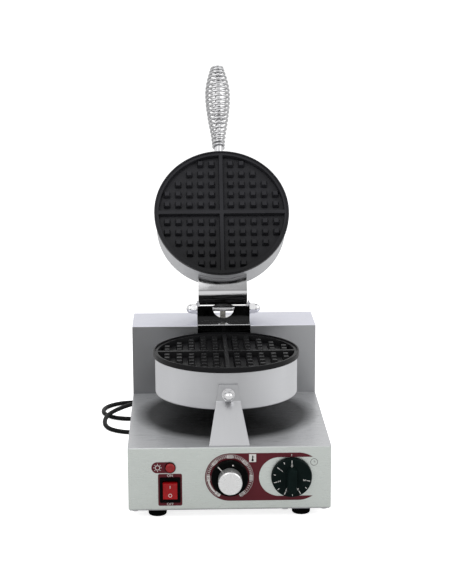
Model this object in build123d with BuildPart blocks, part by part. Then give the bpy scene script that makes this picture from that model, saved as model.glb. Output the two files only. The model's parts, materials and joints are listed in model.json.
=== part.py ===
"""Round waffle maker on a sheet steel stand, drawn with its lid open.

Millimetres, +Z up, the control panel faces -Y and +X is on the right.
The origin lies on the table, under the centre of the box round the machine.
"""
import os
from math import cos, hypot, pi, radians, sin, sqrt, tan

from build123d import *

# Stand: a low deck with the controls, and a column behind it
stand_width = 250.0
deck_depth = 241.5
column_depth = 81.0
base_height = 79.5
column_height = 95.0
sheet = 1.2
edge_radius = 1.5
lip_width = 14.0
foot_height = 13.0
foot_radius = 12.2
foot_inset_x = 35.5
foot_inset_y = 22.0

# Pans: two cast plates, each in a round steel drum
rim_radius = 95.0
rim_band = 7.0
rim_drop = 8.0
rim_gap = 0.8
drum_radius = 92.5
drum_height = 49.0
drum_sheet = 1.0
drum_edge_radius = 2.5
lip_height = 2.0
lip_thickness = 2.0
ledge_width = 4.0
cavity_depth = 7.5
plate_floor = 8.0
wall_taper = 8.0
rib_width = 5.0
rib_taper = 8.0
bump_base = 9.7
bump_height = 6.9
bump_taper = 15.0
bump_corner = 1.6
bump_pitch = 15.85
bump_first = 13.4
bump_reach = 83.0

# Heating inside each drum
element_radius = 4.2
element_ring = 58.0
element_arc = 320.0
clamp_radius = 76.0
clamp_thickness = 2.0
stud_circle = 38.0
stud_radius = 3.0
nut_height = 5.0
nut_radius = 5.5

# Hinge
hinge_setback = 40.7
hinge_rise = 14.7
open_angle = 124.0
bracket_width = 72.0
bracket_sheet = 1.5
side_play = 0.5
rod_radius = 4.0
washer_radius = 8.0
washer_thickness = 1.6
plate_setback = 24.5
plate_height = 21.4
opening_radius = 15.0
ear_radius = 11.0
lid_ear_radius = 8.5
foot_plate_depth = 58.0
apron_height = 42.0

# Handle on the lid
handle_offset = -2.0
handle_rise = 28.0
handle_rod_radius = 4.0
handle_reach = 248.0
collar_radius = 6.0
collar_length = 24.0
coil_start = 114.0
coil_turns = 20
coil_wire = 1.6
coil_root_radius = 7.65
coil_belly_radius = 16.75
coil_tip_radius = 8.1
coil_belly = 86.0
coil_end_pitch = 3.9
coil_mid_pitch = 7.05
coil_blend_turns = 3.0

# Front bracket under the lower pan
bracket_tab_width = 24.0
bracket_fold_width = 31.0
bracket_foot_width = 50.0
bracket_thickness = 2.0
tab_rise = 34.5
tab_bend = 12.4
bracket_toe = 6.0
bracket_flange = 20.0
dome_nut_rise = 21.8
bolt_radius = 4.0
hex_radius = 7.5
hex_height = 6.5
dome_radius = 6.2

# Controls, set out from the middle of the panel and the table
control_z = 54.0
thermostat_x = 0.0
timer_x = 76.0
shaft_radius = 3.0
knob_gap = 0.8
skirt_radius = 23.0
skirt_height = 7.0
cap_radius = 14.4
cap_height = 18.0
timer_radius = 25.2
timer_skirt = 6.0
timer_grip_width = 12.6
timer_grip_height = 17.0
film = 0.3
label_radius = 30.5
label_length = 84.5
label_cut_radius = 25.0
label_cut_x = 61.0
lamp_x = -73.0
lamp_z = 67.3
lamp_radius = 6.0
lamp_height = 4.0
lamp_label_length = 29.5
lamp_label_height = 14.0
lamp_label_x = -81.3
switch_x = -73.4
switch_z = 38.7
switch_label_width = 29.5
switch_label_height = 41.0
bezel_width = 25.5
bezel_height = 32.5
bezel_proud = 2.0
rocker_width = 17.6
rocker_height = 24.0
rocker_tilt = 8.0

# Mains lead
cord_radius = 3.25
cord_lift = 0.05
gland_x = -90.0
gland_z = 37.0
gland_length = 30.0
coil_x = 8.0
coil_gap_behind = 32.0
loop_outer = 45.0
loop_step = 8.2
loop_count = 1.75
coil_tail = 42.0
loop_climb = 7.0
plug_length = 46.0

# Clearances
fit = 0.05
running = 0.06
seat = 0.3

os.makedirs("parts", exist_ok=True)

# Places worked out from the sizes above, first as distances behind the panel
hinge_back = deck_depth + hinge_setback
bracket_stand_off = bracket_sheet + 1.0
pan_back = deck_depth - bracket_stand_off - rim_radius
deck_z = foot_height + base_height
top_z = deck_z + column_height
rim_z = top_z - rim_drop
hinge_z = top_z + hinge_rise
opening_turn = radians(open_angle)
meeting_z = rim_z + rim_gap / 2
tip_from_hinge = hinge_back - pan_back + handle_reach
tip_rise = rim_z + rim_gap + handle_rise - hinge_z
tip_back = hinge_back - tip_from_hinge * cos(opening_turn) + tip_rise * sin(opening_turn)
rear_reach = tip_back + coil_tip_radius * sin(opening_turn)
knob_reach = knob_gap + skirt_height + cap_height
front = (knob_reach - rear_reach) / 2
column_y = front + deck_depth
rear_y = column_y + column_depth
pan_y = front + pan_back
hinge_y = front + hinge_back
housing_depth = deck_depth + column_depth - sheet
drum_bottom_z = rim_z - rim_band - drum_height
cavity_radius = rim_radius - lip_thickness - ledge_width
floor_z = rim_z - lip_height - cavity_depth
plate_bottom_z = floor_z - plate_floor
inner_drum = drum_radius - drum_sheet
hinge_axis = Axis((0, hinge_y, hinge_z), (1, 0, 0))
meeting_plane = Plane.XY.offset(meeting_z)


def save(piece, name):
    """Label a finished piece and write it to its own file."""
    piece.label = name
    export_step(piece, f"parts/{name}.step")


def opened(piece):
    """A lid piece, drawn closed over the lower pan, swung back to its open rest."""
    return piece.rotate(hinge_axis, -open_angle)


def facing_front(x, z, out=0.0):
    """A plane on the control panel with its normal towards the user."""
    return Plane(origin=(x, front - out, z), x_dir=(1, 0, 0), z_dir=(0, -1, 0))


def feet_places():
    """Where the four feet stand."""
    middle = front + (housing_depth + sheet) / 2
    span_x = stand_width - 2 * foot_inset_x
    span_y = housing_depth + sheet - 2 * foot_inset_y
    return [(x, middle + y) for x in (-span_x / 2, span_x / 2) for y in (-span_y / 2, span_y / 2)]


# Stand

stand_middle = front + housing_depth / 2
lead_hole_radius = 14.0
lead_hole_y = column_y + column_depth / 2 + 8.0
spacer_x = 20.0
spacer_z = drum_bottom_z + 24.0
spacer_radius = 5.0
pan_bolt_radius = 3.0
bracket_hole_y = front + bracket_toe + bracket_flange - 7.0
bracket_hole_x = 14.0
small_screw = 2.0
hinge_screw_x = 24.0
hinge_screw_y = hinge_y + 6.0
hinge_lead_radius = 4.0
hinge_lead_y = hinge_y + 20.8

with BuildPart() as base_housing:
    with BuildSketch(Plane.XY.offset(foot_height)):
        with Locations((0, stand_middle)):
            Rectangle(stand_width, housing_depth)
    extrude(amount=base_height)
    fillet(base_housing.edges().group_by(Axis.Y)[0], edge_radius)
    with BuildSketch(Plane.XY.offset(foot_height + sheet)):
        with Locations((0, stand_middle)):
            Rectangle(stand_width - 2 * sheet, housing_depth - 2 * sheet)
    extrude(amount=base_height - 2 * sheet, mode=Mode.SUBTRACT)
    with BuildSketch(Plane.XY.offset(foot_height)):
        with Locations((0, stand_middle)):
            Rectangle(stand_width - 2 * lip_width, housing_depth - 2 * lip_width)
    extrude(amount=2 * sheet, mode=Mode.SUBTRACT)
    with BuildSketch(Plane.XZ.offset(-front - housing_depth)):
        with Locations((0, foot_height + base_height / 2)):
            Rectangle(stand_width - 2 * lip_width, base_height - 2 * lip_width)
    extrude(amount=2 * sheet, mode=Mode.SUBTRACT)
    with BuildSketch(Plane.XY.offset(deck_z)):
        with Locations((0, lead_hole_y)):
            Circle(lead_hole_radius)
        with Locations((-bracket_hole_x, bracket_hole_y), (bracket_hole_x, bracket_hole_y)):
            Circle(small_screw + fit)
    extrude(amount=-2 * sheet, mode=Mode.SUBTRACT)
    with BuildSketch(facing_front(0, 0)):
        with Locations((thermostat_x, control_z), (timer_x, control_z)):
            Circle(shaft_radius + 2.0)
        with Locations((lamp_x, lamp_z)):
            Circle(lamp_radius - 1.0)
        with Locations((switch_x, switch_z)):
            Rectangle(bezel_width - 3.0, bezel_height - 3.0)
    extrude(amount=-2 * sheet, mode=Mode.SUBTRACT)
    with BuildSketch(Plane.XY.offset(foot_height)):
        with Locations(*feet_places()):
            Circle(small_screw + fit)
    extrude(amount=2 * sheet, mode=Mode.SUBTRACT)
save(base_housing.part, "base_housing")

with BuildPart() as column_cover:
    column_middle = column_y + (column_depth - sheet) / 2
    with BuildSketch(Plane.XY.offset(deck_z)):
        with Locations((0, column_middle)):
            Rectangle(stand_width, column_depth - sheet)
    extrude(amount=column_height)
    fillet(column_cover.edges().filter_by(Axis.X).group_by(Axis.Z)[-1].sort_by(Axis.Y)[0], edge_radius)
    with BuildSketch(Plane.XY.offset(deck_z + sheet)):
        with Locations((0, column_middle)):
            Rectangle(stand_width - 2 * sheet, column_depth - 3 * sheet)
    extrude(amount=column_height - 2 * sheet, mode=Mode.SUBTRACT)
    with BuildSketch(Plane.XY.offset(deck_z)):
        with Locations((0, column_middle)):
            Rectangle(stand_width - 2 * lip_width, column_depth - 2 * lip_width)
    extrude(amount=2 * sheet, mode=Mode.SUBTRACT)
    with BuildSketch(Plane.XZ.offset(-rear_y + sheet)):
        with Locations((0, deck_z + column_height / 2)):
            Rectangle(stand_width - 2 * lip_width, column_height - 2 * lip_width)
    extrude(amount=2 * sheet, mode=Mode.SUBTRACT)
    with BuildSketch(Plane.XY.offset(top_z)):
        with Locations((0, hinge_lead_y)):
            Circle(hinge_lead_radius + 1.0)
        with Locations((-hinge_screw_x, hinge_screw_y), (hinge_screw_x, hinge_screw_y)):
            Circle(small_screw + fit)
    extrude(amount=-2 * sheet, mode=Mode.SUBTRACT)
    with BuildSketch(Plane.XZ.offset(-column_y)):
        with Locations((-spacer_x, spacer_z), (spacer_x, spacer_z)):
            Circle(pan_bolt_radius + fit)
        with Locations((0, spacer_z)):
            Circle(7.0)
    extrude(amount=-2 * sheet, mode=Mode.SUBTRACT)
save(column_cover.part, "column_cover")

panel_margin = 3.0
rear_height = base_height + column_height - 2 * panel_margin
rear_middle_z = foot_height + (base_height + column_height) / 2
vent_width = 46.0
vent_height = 4.0
vent_pitch = 11.0
rear_screw_places = [
    (x, z)
    for x in (-stand_width / 2 + lip_width / 2 + 1.0, stand_width / 2 - lip_width / 2 - 1.0)
    for z in (foot_height + 10.0, deck_z - 8.0, top_z - 10.0)
]

with BuildPart() as rear_panel:
    with BuildSketch(Plane.XZ.offset(-rear_y)):
        with Locations((0, rear_middle_z)):
            RectangleRounded(stand_width - 2 * panel_margin, rear_height, 4.0)
        with Locations((0, rear_middle_z + 24.0)):
            with GridLocations(vent_width + 18.0, vent_pitch, 3, 5):
                SlotOverall(vent_width, vent_height, mode=Mode.SUBTRACT)
        with Locations(*rear_screw_places):
            Circle(small_screw + fit, mode=Mode.SUBTRACT)
        with Locations((gland_x, gland_z)):
            Circle(cord_radius + 4.0, mode=Mode.SUBTRACT)
    extrude(amount=sheet)
save(rear_panel.part, "rear_panel")

with BuildPart() as rear_screws:
    for place_x, place_z in rear_screw_places:
        with BuildSketch(Plane.XZ.offset(-rear_y)):
            with Locations((place_x, place_z)):
                Circle(2 * small_screw)
        extrude(amount=-1.6)
        with BuildSketch(Plane.XZ.offset(-rear_y)):
            with Locations((place_x, place_z)):
                Circle(small_screw)
        extrude(amount=sheet)
save(rear_screws.part, "rear_screws")

bottom_inset = 1.5
bottom_screw_places = [
    (x, front + y)
    for x in (-stand_width / 2 + lip_width - 6.0, 70.0 - sheet, stand_width / 2 - lip_width + 6.0)
    for y in (8.5, housing_depth - 8.5)
]

with BuildPart() as bottom_plate:
    with BuildSketch(Plane.XY.offset(foot_height)):
        with Locations((0, stand_middle)):
            Rectangle(stand_width - 2 * bottom_inset, housing_depth - 2 * bottom_inset)
        with Locations(*bottom_screw_places):
            Circle(small_screw + fit, mode=Mode.SUBTRACT)
        with Locations(*feet_places()):
            Circle(small_screw + fit, mode=Mode.SUBTRACT)
    extrude(amount=-sheet)
save(bottom_plate.part, "bottom_plate")

foot_top = foot_height - sheet
with BuildPart() as rubber_feet:
    with BuildSketch(Plane.XY.offset(foot_top)):
        with Locations(*feet_places()):
            Circle(foot_radius)
    extrude(amount=-foot_top, taper=5)
    fillet(rubber_feet.edges().group_by(Axis.Z)[0], 2.0)
    with BuildSketch(Plane.XY):
        with Locations(*feet_places()):
            Circle(5.0)
    extrude(amount=5.0, mode=Mode.SUBTRACT)
    with BuildSketch(Plane.XY):
        with Locations(*feet_places()):
            Circle(small_screw + fit)
    extrude(amount=foot_height, mode=Mode.SUBTRACT)
save(rubber_feet.part, "rubber_feet")

with BuildPart() as base_screws:
    with BuildSketch(Plane.XY.offset(foot_height - sheet)):
        with Locations(*bottom_screw_places):
            Circle(2 * small_screw + 1.0)
    extrude(amount=-2.2)
    fillet(base_screws.edges().group_by(Axis.Z)[0], 1.4)
    with BuildSketch(Plane.XY.offset(foot_height - sheet)):
        with Locations(*bottom_screw_places):
            Circle(small_screw)
    extrude(amount=sheet)
    with BuildSketch(Plane.XY.offset(5.0)):
        with Locations(*feet_places()):
            Circle(4.2)
    extrude(amount=-2.2)
    with BuildSketch(Plane.XY.offset(5.0)):
        with Locations(*feet_places()):
            Circle(small_screw)
    extrude(amount=foot_height + sheet - 5.0)
save(base_screws.part, "base_screws")

# Labels on the panel

with BuildPart() as control_label:
    with BuildSketch(facing_front(0, control_z)):
        with Locations((label_length / 2, 0)):
            SlotOverall(label_length + 2 * label_radius, 2 * label_radius)
        with Locations((label_cut_x + label_length / 2, 0)):
            SlotOverall(label_length + 2 * label_cut_radius, 2 * label_cut_radius, mode=Mode.SUBTRACT)
        Circle(shaft_radius + 2.0, mode=Mode.SUBTRACT)
    extrude(amount=film)
save(control_label.part, "control_label")

with BuildPart() as lamp_label:
    with BuildSketch(facing_front(lamp_label_x, lamp_z)):
        SlotOverall(lamp_label_length, lamp_label_height)
        with Locations((lamp_x - lamp_label_x, 0)):
            Circle(lamp_radius - 1.0, mode=Mode.SUBTRACT)
    extrude(amount=film)
save(lamp_label.part, "lamp_label")

with BuildPart() as switch_label:
    with BuildSketch(facing_front(switch_x, switch_z)):
        RectangleRounded(switch_label_width, switch_label_height, 2.0)
        Rectangle(bezel_width - 3.0, bezel_height - 3.0, mode=Mode.SUBTRACT)
    extrude(amount=film)
save(switch_label.part, "switch_label")

# Lamp and switch

lamp_wall = 1.2
lens_seat = 0.6
with BuildPart() as lamp_body:
    with BuildSketch(facing_front(lamp_x, lamp_z, film)):
        Circle(lamp_radius + 0.8)
        Circle(lamp_radius - lamp_wall - 0.2, mode=Mode.SUBTRACT)
    extrude(amount=lens_seat)
    with BuildSketch(facing_front(lamp_x, lamp_z, film + lens_seat)):
        Circle(lamp_radius + 0.8)
        Circle(lamp_radius, mode=Mode.SUBTRACT)
    extrude(amount=1.0)
    with BuildSketch(facing_front(lamp_x, lamp_z, film)):
        Circle(lamp_radius - 1.0 - fit)
        Circle(lamp_radius - lamp_wall - 0.2, mode=Mode.SUBTRACT)
    extrude(amount=-22.0)
    with BuildSketch(facing_front(lamp_x, lamp_z, film - 22.0)):
        Circle(lamp_radius - 1.0 - fit)
    extrude(amount=-1.5)
save(lamp_body.part, "lamp_body")

with BuildPart() as lamp_lens:
    with BuildSketch(facing_front(lamp_x, lamp_z, film + lens_seat + fit)):
        Circle(lamp_radius - lamp_wall - 0.2 - fit)
    extrude(amount=-16.0)
    with BuildSketch(facing_front(lamp_x, lamp_z, film + lens_seat + fit)):
        Circle(lamp_radius - fit)
    extrude(amount=lamp_height - lens_seat)
    fillet(lamp_lens.edges().group_by(Axis.Y)[0], 2.2)
save(lamp_lens.part, "lamp_lens")

rocker_play = 0.4
rocker_pivot = -2.0
with BuildPart() as switch_body:
    with BuildSketch(facing_front(switch_x, switch_z, film)):
        RectangleRounded(bezel_width, bezel_height, 1.5)
    extrude(amount=bezel_proud)
    fillet(switch_body.edges().group_by(Axis.Y)[0], 0.8)
    with BuildSketch(facing_front(switch_x, switch_z, film)):
        Rectangle(bezel_width - 3.0 - 2 * fit, bezel_height - 3.0 - 2 * fit)
    extrude(amount=-24.0)
    with BuildSketch(facing_front(switch_x, switch_z, film + bezel_proud)):
        Rectangle(rocker_width + 2 * rocker_play, rocker_height + 2 * rocker_play)
    extrude(amount=-16.0, mode=Mode.SUBTRACT)
    with BuildSketch(facing_front(switch_x, switch_z, film - 24.0)):
        with GridLocations(9.0, 12.0, 2, 2):
            Rectangle(0.8, 6.3)
    extrude(amount=-8.0)
    with BuildSketch(Plane.YZ.offset(switch_x)):
        with Locations((front - film - rocker_pivot, switch_z)):
            Circle(1.5)
    extrude(amount=rocker_width / 2 + 2.0, both=True)
save(switch_body.part, "switch_body")

pivot_y = front - film - rocker_pivot
rocker_edge = rocker_height / 2
with BuildPart() as switch_rocker:
    with BuildSketch(Plane.YZ.offset(switch_x)):
        with BuildLine():
            Polyline(
                (front - film - bezel_proud - 2.6, switch_z + rocker_edge - 1.2),
                (pivot_y + 4.0, switch_z + rocker_edge - 2.4),
                (pivot_y + 7.0, switch_z),
                (pivot_y + 4.0, switch_z - rocker_edge + 2.4),
                (front - film - bezel_proud - 2.6, switch_z - rocker_edge + 1.2),
            )
            Line(
                (front - film - bezel_proud - 2.6, switch_z - rocker_edge + 1.2),
                (front - film - bezel_proud - 0.6, switch_z),
            )
            Line(
                (front - film - bezel_proud - 0.6, switch_z),
                (front - film - bezel_proud - 2.6, switch_z + rocker_edge - 1.2),
            )
        make_face()
        with Locations((pivot_y, switch_z)):
            Circle(1.5 + running, mode=Mode.SUBTRACT)
    extrude(amount=rocker_width / 2, both=True)
    fillet(switch_rocker.edges().filter_by(Axis.X).group_by(Axis.Y)[0], 0.5)
rocker_axis = Axis((switch_x, pivot_y, switch_z), (1, 0, 0))
save(switch_rocker.part.rotate(rocker_axis, rocker_tilt), "switch_rocker")

# Thermostat

body_gap = sheet
with BuildPart() as thermostat_body:
    with BuildSketch(facing_front(thermostat_x, control_z, -body_gap)):
        RectangleRounded(36.0, 40.0, 2.0)
    extrude(amount=-26.0)
    with BuildSketch(facing_front(thermostat_x, control_z, -body_gap)):
        Circle(shaft_radius + fit)
    extrude(amount=-20.0, mode=Mode.SUBTRACT)
    with BuildSketch(facing_front(thermostat_x, control_z, -body_gap - 26.0)):
        with GridLocations(18.0, 12.0, 2, 1):
            Rectangle(6.3, 0.8)
    extrude(amount=-9.0)
save(thermostat_body.part, "thermostat_body")

knob_base = film + knob_gap
with BuildPart() as thermostat_shaft:
    with BuildSketch(facing_front(thermostat_x, control_z, -body_gap - 18.0)):
        Circle(shaft_radius)
    extrude(amount=18.0 + body_gap + knob_base + skirt_height + 6.0)
save(thermostat_shaft.part, "thermostat_shaft")

with BuildPart() as thermostat_knob:
    with BuildSketch(facing_front(thermostat_x, control_z, knob_base)):
        Circle(skirt_radius)
    extrude(amount=skirt_height, taper=4)
    fillet(thermostat_knob.edges().group_by(Axis.Y)[0], 1.5)
    with BuildSketch(facing_front(thermostat_x, control_z, knob_base + skirt_height - 0.5)):
        Circle(cap_radius - 2.0)
    extrude(amount=cap_height - 4.0)
    with BuildSketch(facing_front(thermostat_x, control_z, knob_base)):
        Circle(shaft_radius + fit)
    extrude(amount=skirt_height + 6.1, mode=Mode.SUBTRACT)
save(thermostat_knob.part, "thermostat_knob")

with BuildPart() as thermostat_cap:
    with BuildSketch(facing_front(thermostat_x, control_z, knob_base + skirt_height + 0.05)):
        Circle(cap_radius)
    extrude(amount=cap_height - film - 0.05)
    chamfer(thermostat_cap.edges().group_by(Axis.Y)[0], 0.8)
    with BuildSketch(facing_front(thermostat_x, control_z, knob_base + skirt_height)):
        Circle(cap_radius - 2.0 + fit)
    extrude(amount=cap_height - 4.4, mode=Mode.SUBTRACT)
save(thermostat_cap.part, "thermostat_cap")

# Timer

with BuildPart() as timer_body:
    with BuildSketch(facing_front(timer_x, control_z, -body_gap)):
        Circle(22.0)
    extrude(amount=-34.0)
    with BuildSketch(facing_front(timer_x, control_z, -body_gap)):
        Circle(shaft_radius + fit)
    extrude(amount=-20.0, mode=Mode.SUBTRACT)
    with BuildSketch(facing_front(timer_x, control_z, -body_gap - 34.0)):
        with GridLocations(14.0, 12.0, 2, 1):
            Rectangle(6.3, 0.8)
    extrude(amount=-9.0)
save(timer_body.part, "timer_body")

with BuildPart() as timer_shaft:
    with BuildSketch(facing_front(timer_x, control_z, -body_gap - 18.0)):
        Circle(shaft_radius)
    extrude(amount=18.0 + body_gap + knob_base + timer_skirt + 8.0)
save(timer_shaft.part, "timer_shaft")

with BuildPart() as timer_knob:
    with BuildSketch(facing_front(timer_x, control_z, knob_base)):
        Circle(timer_radius)
    extrude(amount=timer_skirt, taper=6)
    fillet(timer_knob.edges().group_by(Axis.Y)[0], 1.5)
    with BuildSketch(facing_front(timer_x, control_z, knob_base + timer_skirt - 0.5)):
        with Locations((0, -2.0)):
            RectangleRounded(timer_grip_width, 2 * timer_radius - 18.0, 6.0)
    extrude(amount=timer_grip_height - timer_skirt, taper=4)
    fillet(timer_knob.edges().group_by(Axis.Y)[0], 1.5)
    with BuildSketch(facing_front(timer_x, control_z, knob_base)):
        Circle(shaft_radius + fit)
    extrude(amount=timer_skirt + 8.1, mode=Mode.SUBTRACT)
save(timer_knob.part, "timer_knob")

with BuildPart() as terminal_block:
    with BuildSketch(Plane.XY.offset(foot_height + sheet)):
        with Locations((-40.0, rear_y - 70.0)):
            RectangleRounded(60.0, 22.0, 2.0)
    extrude(amount=18.0)
    with BuildSketch(Plane.XY.offset(foot_height + sheet + 18.0)):
        with Locations((-40.0, rear_y - 70.0)):
            with GridLocations(11.0, 12.0, 5, 2):
                Circle(2.6)
    extrude(amount=-6.0, mode=Mode.SUBTRACT)
    with BuildSketch(Plane.XY.offset(foot_height)):
        with Locations((-40.0, rear_y - 70.0)):
            Rectangle(50.0, 8.0)
    extrude(amount=sheet)
save(terminal_block.part, "terminal_block")

# Lower pan

bumps = [
    (sx * (bump_first + i * bump_pitch), pan_y + sy * (bump_first + j * bump_pitch))
    for i in range(6)
    for j in range(6)
    for sx in (-1, 1)
    for sy in (-1, 1)
    if hypot(bump_first + i * bump_pitch, bump_first + j * bump_pitch) < bump_reach
]

with BuildPart() as lower_plate:
    with BuildSketch(Plane.XY.offset(rim_z)):
        with Locations((0, pan_y)):
            Circle(rim_radius)
    extrude(amount=-rim_band)
    fillet(lower_plate.edges(), 0.8)
    with BuildSketch(Plane.XY.offset(rim_z - 1.0)):
        with Locations((0, pan_y)):
            Circle(inner_drum - 0.5)
    extrude(amount=-(rim_z - 1.0 - plate_bottom_z))
    with BuildSketch(Plane.XY.offset(rim_z)):
        with Locations((0, pan_y)):
            Circle(rim_radius - lip_thickness)
    extrude(amount=-lip_height, mode=Mode.SUBTRACT)
    with BuildSketch(Plane.XY.offset(rim_z - lip_height)):
        with Locations((0, pan_y)):
            Circle(cavity_radius)
    extrude(amount=-cavity_depth, taper=wall_taper, mode=Mode.SUBTRACT)
    rib_length = 2 * cavity_radius + 2.0
    with BuildSketch(Plane.XY.offset(floor_z)):
        with Locations((0, pan_y)):
            Rectangle(rib_length, rib_width + 2 * cavity_depth * tan(radians(rib_taper)))
            Rectangle(rib_width + 2 * cavity_depth * tan(radians(rib_taper)), rib_length)
    extrude(amount=cavity_depth, taper=rib_taper)
    with BuildSketch(Plane.XY.offset(floor_z)):
        with Locations(*bumps):
            RectangleRounded(bump_base, bump_base, bump_corner)
    extrude(amount=bump_height, taper=bump_taper)
save(lower_plate.part, "lower_plate")

nut_z = drum_bottom_z + dome_nut_rise
drum_front_y = pan_y - drum_radius
with BuildPart() as lower_drum:
    with BuildSketch(Plane.XY.offset(drum_bottom_z)):
        with Locations((0, pan_y)):
            Circle(drum_radius)
    extrude(amount=drum_height)
    fillet(lower_drum.edges().group_by(Axis.Z)[0], drum_edge_radius)
    offset(amount=-drum_sheet, openings=lower_drum.faces().sort_by(Axis.Z)[-1])
    with BuildSketch(Plane.XZ.offset(-pan_y + drum_radius - 10.0)):
        with Locations((0, nut_z)):
            Circle(bolt_radius + fit)
    extrude(amount=20.0, mode=Mode.SUBTRACT)
    with BuildSketch(Plane.XZ.offset(-pan_y - drum_radius + 15.0)):
        with Locations((-spacer_x, spacer_z), (spacer_x, spacer_z)):
            Circle(pan_bolt_radius + fit)
        with Locations((0, spacer_z)):
            Circle(7.0)
    extrude(amount=-20.0, mode=Mode.SUBTRACT)
save(lower_drum.part, "lower_drum")

element_z = plate_bottom_z - element_radius - fit
clamp_top = element_z - element_radius - fit
with BuildPart() as lower_element:
    with BuildSketch(Plane.XZ.offset(-pan_y)):
        with Locations((element_ring, element_z)):
            Circle(element_radius)
    revolve(axis=Axis((0, pan_y, 0), (0, 0, 1)), revolution_arc=element_arc)
    with BuildSketch(Plane.XY.offset(element_z)):
        with Locations((0, pan_y)):
            for turn in (5.0, element_arc - 5.0):
                with Locations((element_ring * cos(radians(turn)), element_ring * sin(radians(turn)))):
                    Circle(2.5)
    extrude(amount=-(element_z - drum_bottom_z - 12.0))
save(lower_element.part, "lower_element")

pin_places = [
    (element_ring * cos(radians(turn)), pan_y + element_ring * sin(radians(turn)))
    for turn in (5.0, element_arc - 5.0)
]
stud_places = [
    (stud_circle * cos(radians(turn)), pan_y + stud_circle * sin(radians(turn)))
    for turn in (45.0, 135.0, 225.0, 315.0)
]
with BuildPart() as lower_clamp:
    with BuildSketch(Plane.XY.offset(clamp_top)):
        with Locations((0, pan_y)):
            Circle(clamp_radius)
        with Locations(*pin_places):
            Circle(4.0, mode=Mode.SUBTRACT)
        with Locations(*stud_places):
            Circle(stud_radius + fit, mode=Mode.SUBTRACT)
    extrude(amount=-clamp_thickness)
save(lower_clamp.part, "lower_clamp")

with BuildPart() as lower_nuts:
    with BuildSketch(Plane.XY.offset(plate_bottom_z - fit)):
        with Locations(*stud_places):
            Circle(stud_radius)
    extrude(amount=-(plate_bottom_z - fit - clamp_top + clamp_thickness + nut_height + 2.0))
    with BuildSketch(Plane.XY.offset(clamp_top - clamp_thickness)):
        with Locations(*stud_places):
            RegularPolygon(nut_radius, 6)
    extrude(amount=-nut_height)
save(lower_nuts.part, "lower_nuts")

insulation_radius = inner_drum - 2.0
with BuildPart() as lower_insulation:
    with BuildSketch(Plane.XY.offset(drum_bottom_z + drum_sheet + fit)):
        with Locations((0, pan_y)):
            Circle(insulation_radius - 10.0)
        with Locations(*pin_places):
            Circle(4.0, mode=Mode.SUBTRACT)
        with Locations(*stud_places):
            Circle(nut_radius + 2.0, mode=Mode.SUBTRACT)
    extrude(amount=clamp_top - clamp_thickness - drum_bottom_z - drum_sheet - 2 * fit)
save(lower_insulation.part, "lower_insulation")

# Bolt through the front of the drum, the bracket that it holds, and its dome nut

tab_back = drum_front_y - fit
with BuildPart() as front_bracket:
    with BuildSketch(Plane.YZ):
        Polygon(
            (tab_back, drum_bottom_z + tab_rise),
            (tab_back, drum_bottom_z + tab_bend),
            (front + bracket_toe + 2.6 * bracket_thickness, deck_z + bracket_thickness),
            (front + bracket_toe + bracket_flange, deck_z + bracket_thickness),
            (front + bracket_toe + bracket_flange, deck_z),
            (front + bracket_toe, deck_z),
            (tab_back - bracket_thickness, drum_bottom_z + tab_bend + 0.8),
            (tab_back - bracket_thickness, drum_bottom_z + tab_rise),
            align=None,
        )
    extrude(amount=bracket_foot_width / 2, both=True)
    with BuildSketch(Plane.XZ.offset(-pan_y)):
        flare_top = drum_bottom_z + tab_bend - 1.0
        with BuildLine():
            Polyline(
                (-bracket_tab_width / 2, drum_bottom_z + tab_rise),
                (-bracket_fold_width / 2, flare_top),
                (-bracket_foot_width / 2, deck_z),
                (bracket_foot_width / 2, deck_z),
                (bracket_fold_width / 2, flare_top),
                (bracket_tab_width / 2, drum_bottom_z + tab_rise),
                close=True,
            )
        make_face()
    extrude(amount=pan_y - front, mode=Mode.INTERSECT)
    with BuildSketch(Plane.XZ.offset(-tab_back + bracket_thickness)):
        with Locations((0, nut_z)):
            Circle(bolt_radius + fit)
    extrude(amount=-3.0 * bracket_thickness, mode=Mode.SUBTRACT)
    with BuildSketch(Plane.XY.offset(deck_z)):
        with Locations((-bracket_hole_x, bracket_hole_y), (bracket_hole_x, bracket_hole_y)):
            Circle(small_screw + fit)
    extrude(amount=bracket_thickness, mode=Mode.SUBTRACT)
save(front_bracket.part, "front_bracket")

stud_head = 4.0
with BuildPart() as bracket_stud:
    stud_tip_y = tab_back - bracket_thickness - washer_thickness - hex_height - 3.0
    with BuildSketch(Plane.XZ.offset(-(drum_front_y + drum_sheet + 0.4))):
        with Locations((0, nut_z)):
            RegularPolygon(hex_radius, 6)
    extrude(amount=-stud_head)
    with BuildSketch(Plane.XZ.offset(-(drum_front_y + drum_sheet + 0.4))):
        with Locations((0, nut_z)):
            Circle(bolt_radius)
    extrude(amount=drum_front_y + drum_sheet + 0.4 - stud_tip_y)
save(bracket_stud.part, "bracket_stud")

with BuildPart() as bracket_washer:
    with BuildSketch(Plane.XZ.offset(-(tab_back - bracket_thickness))):
        with Locations((0, nut_z)):
            Circle(washer_radius)
            Circle(bolt_radius + fit, mode=Mode.SUBTRACT)
    extrude(amount=washer_thickness)
save(bracket_washer.part, "bracket_washer")


def dome_nut(plane):
    """A hexagon nut with a domed cap, standing on a plane, with its blind bore."""
    with BuildPart() as nut:
        with BuildSketch(plane):
            RegularPolygon(hex_radius, 6)
        extrude(amount=hex_height)
        with BuildSketch(plane.offset(hex_height)):
            Circle(dome_radius)
        extrude(amount=dome_radius + 0.8)
        fillet(nut.edges().filter_by(GeomType.CIRCLE).sort_by(Axis(plane.origin, plane.z_dir))[-1], dome_radius - 0.4)
        with BuildSketch(plane):
            Circle(bolt_radius + fit)
        extrude(amount=hex_height + 3.4, mode=Mode.SUBTRACT)
    return nut.part


nut_y = tab_back - bracket_thickness - washer_thickness
save(dome_nut(Plane(origin=(0, nut_y, nut_z), x_dir=(1, 0, 0), z_dir=(0, -1, 0))), "bracket_nut")

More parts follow.
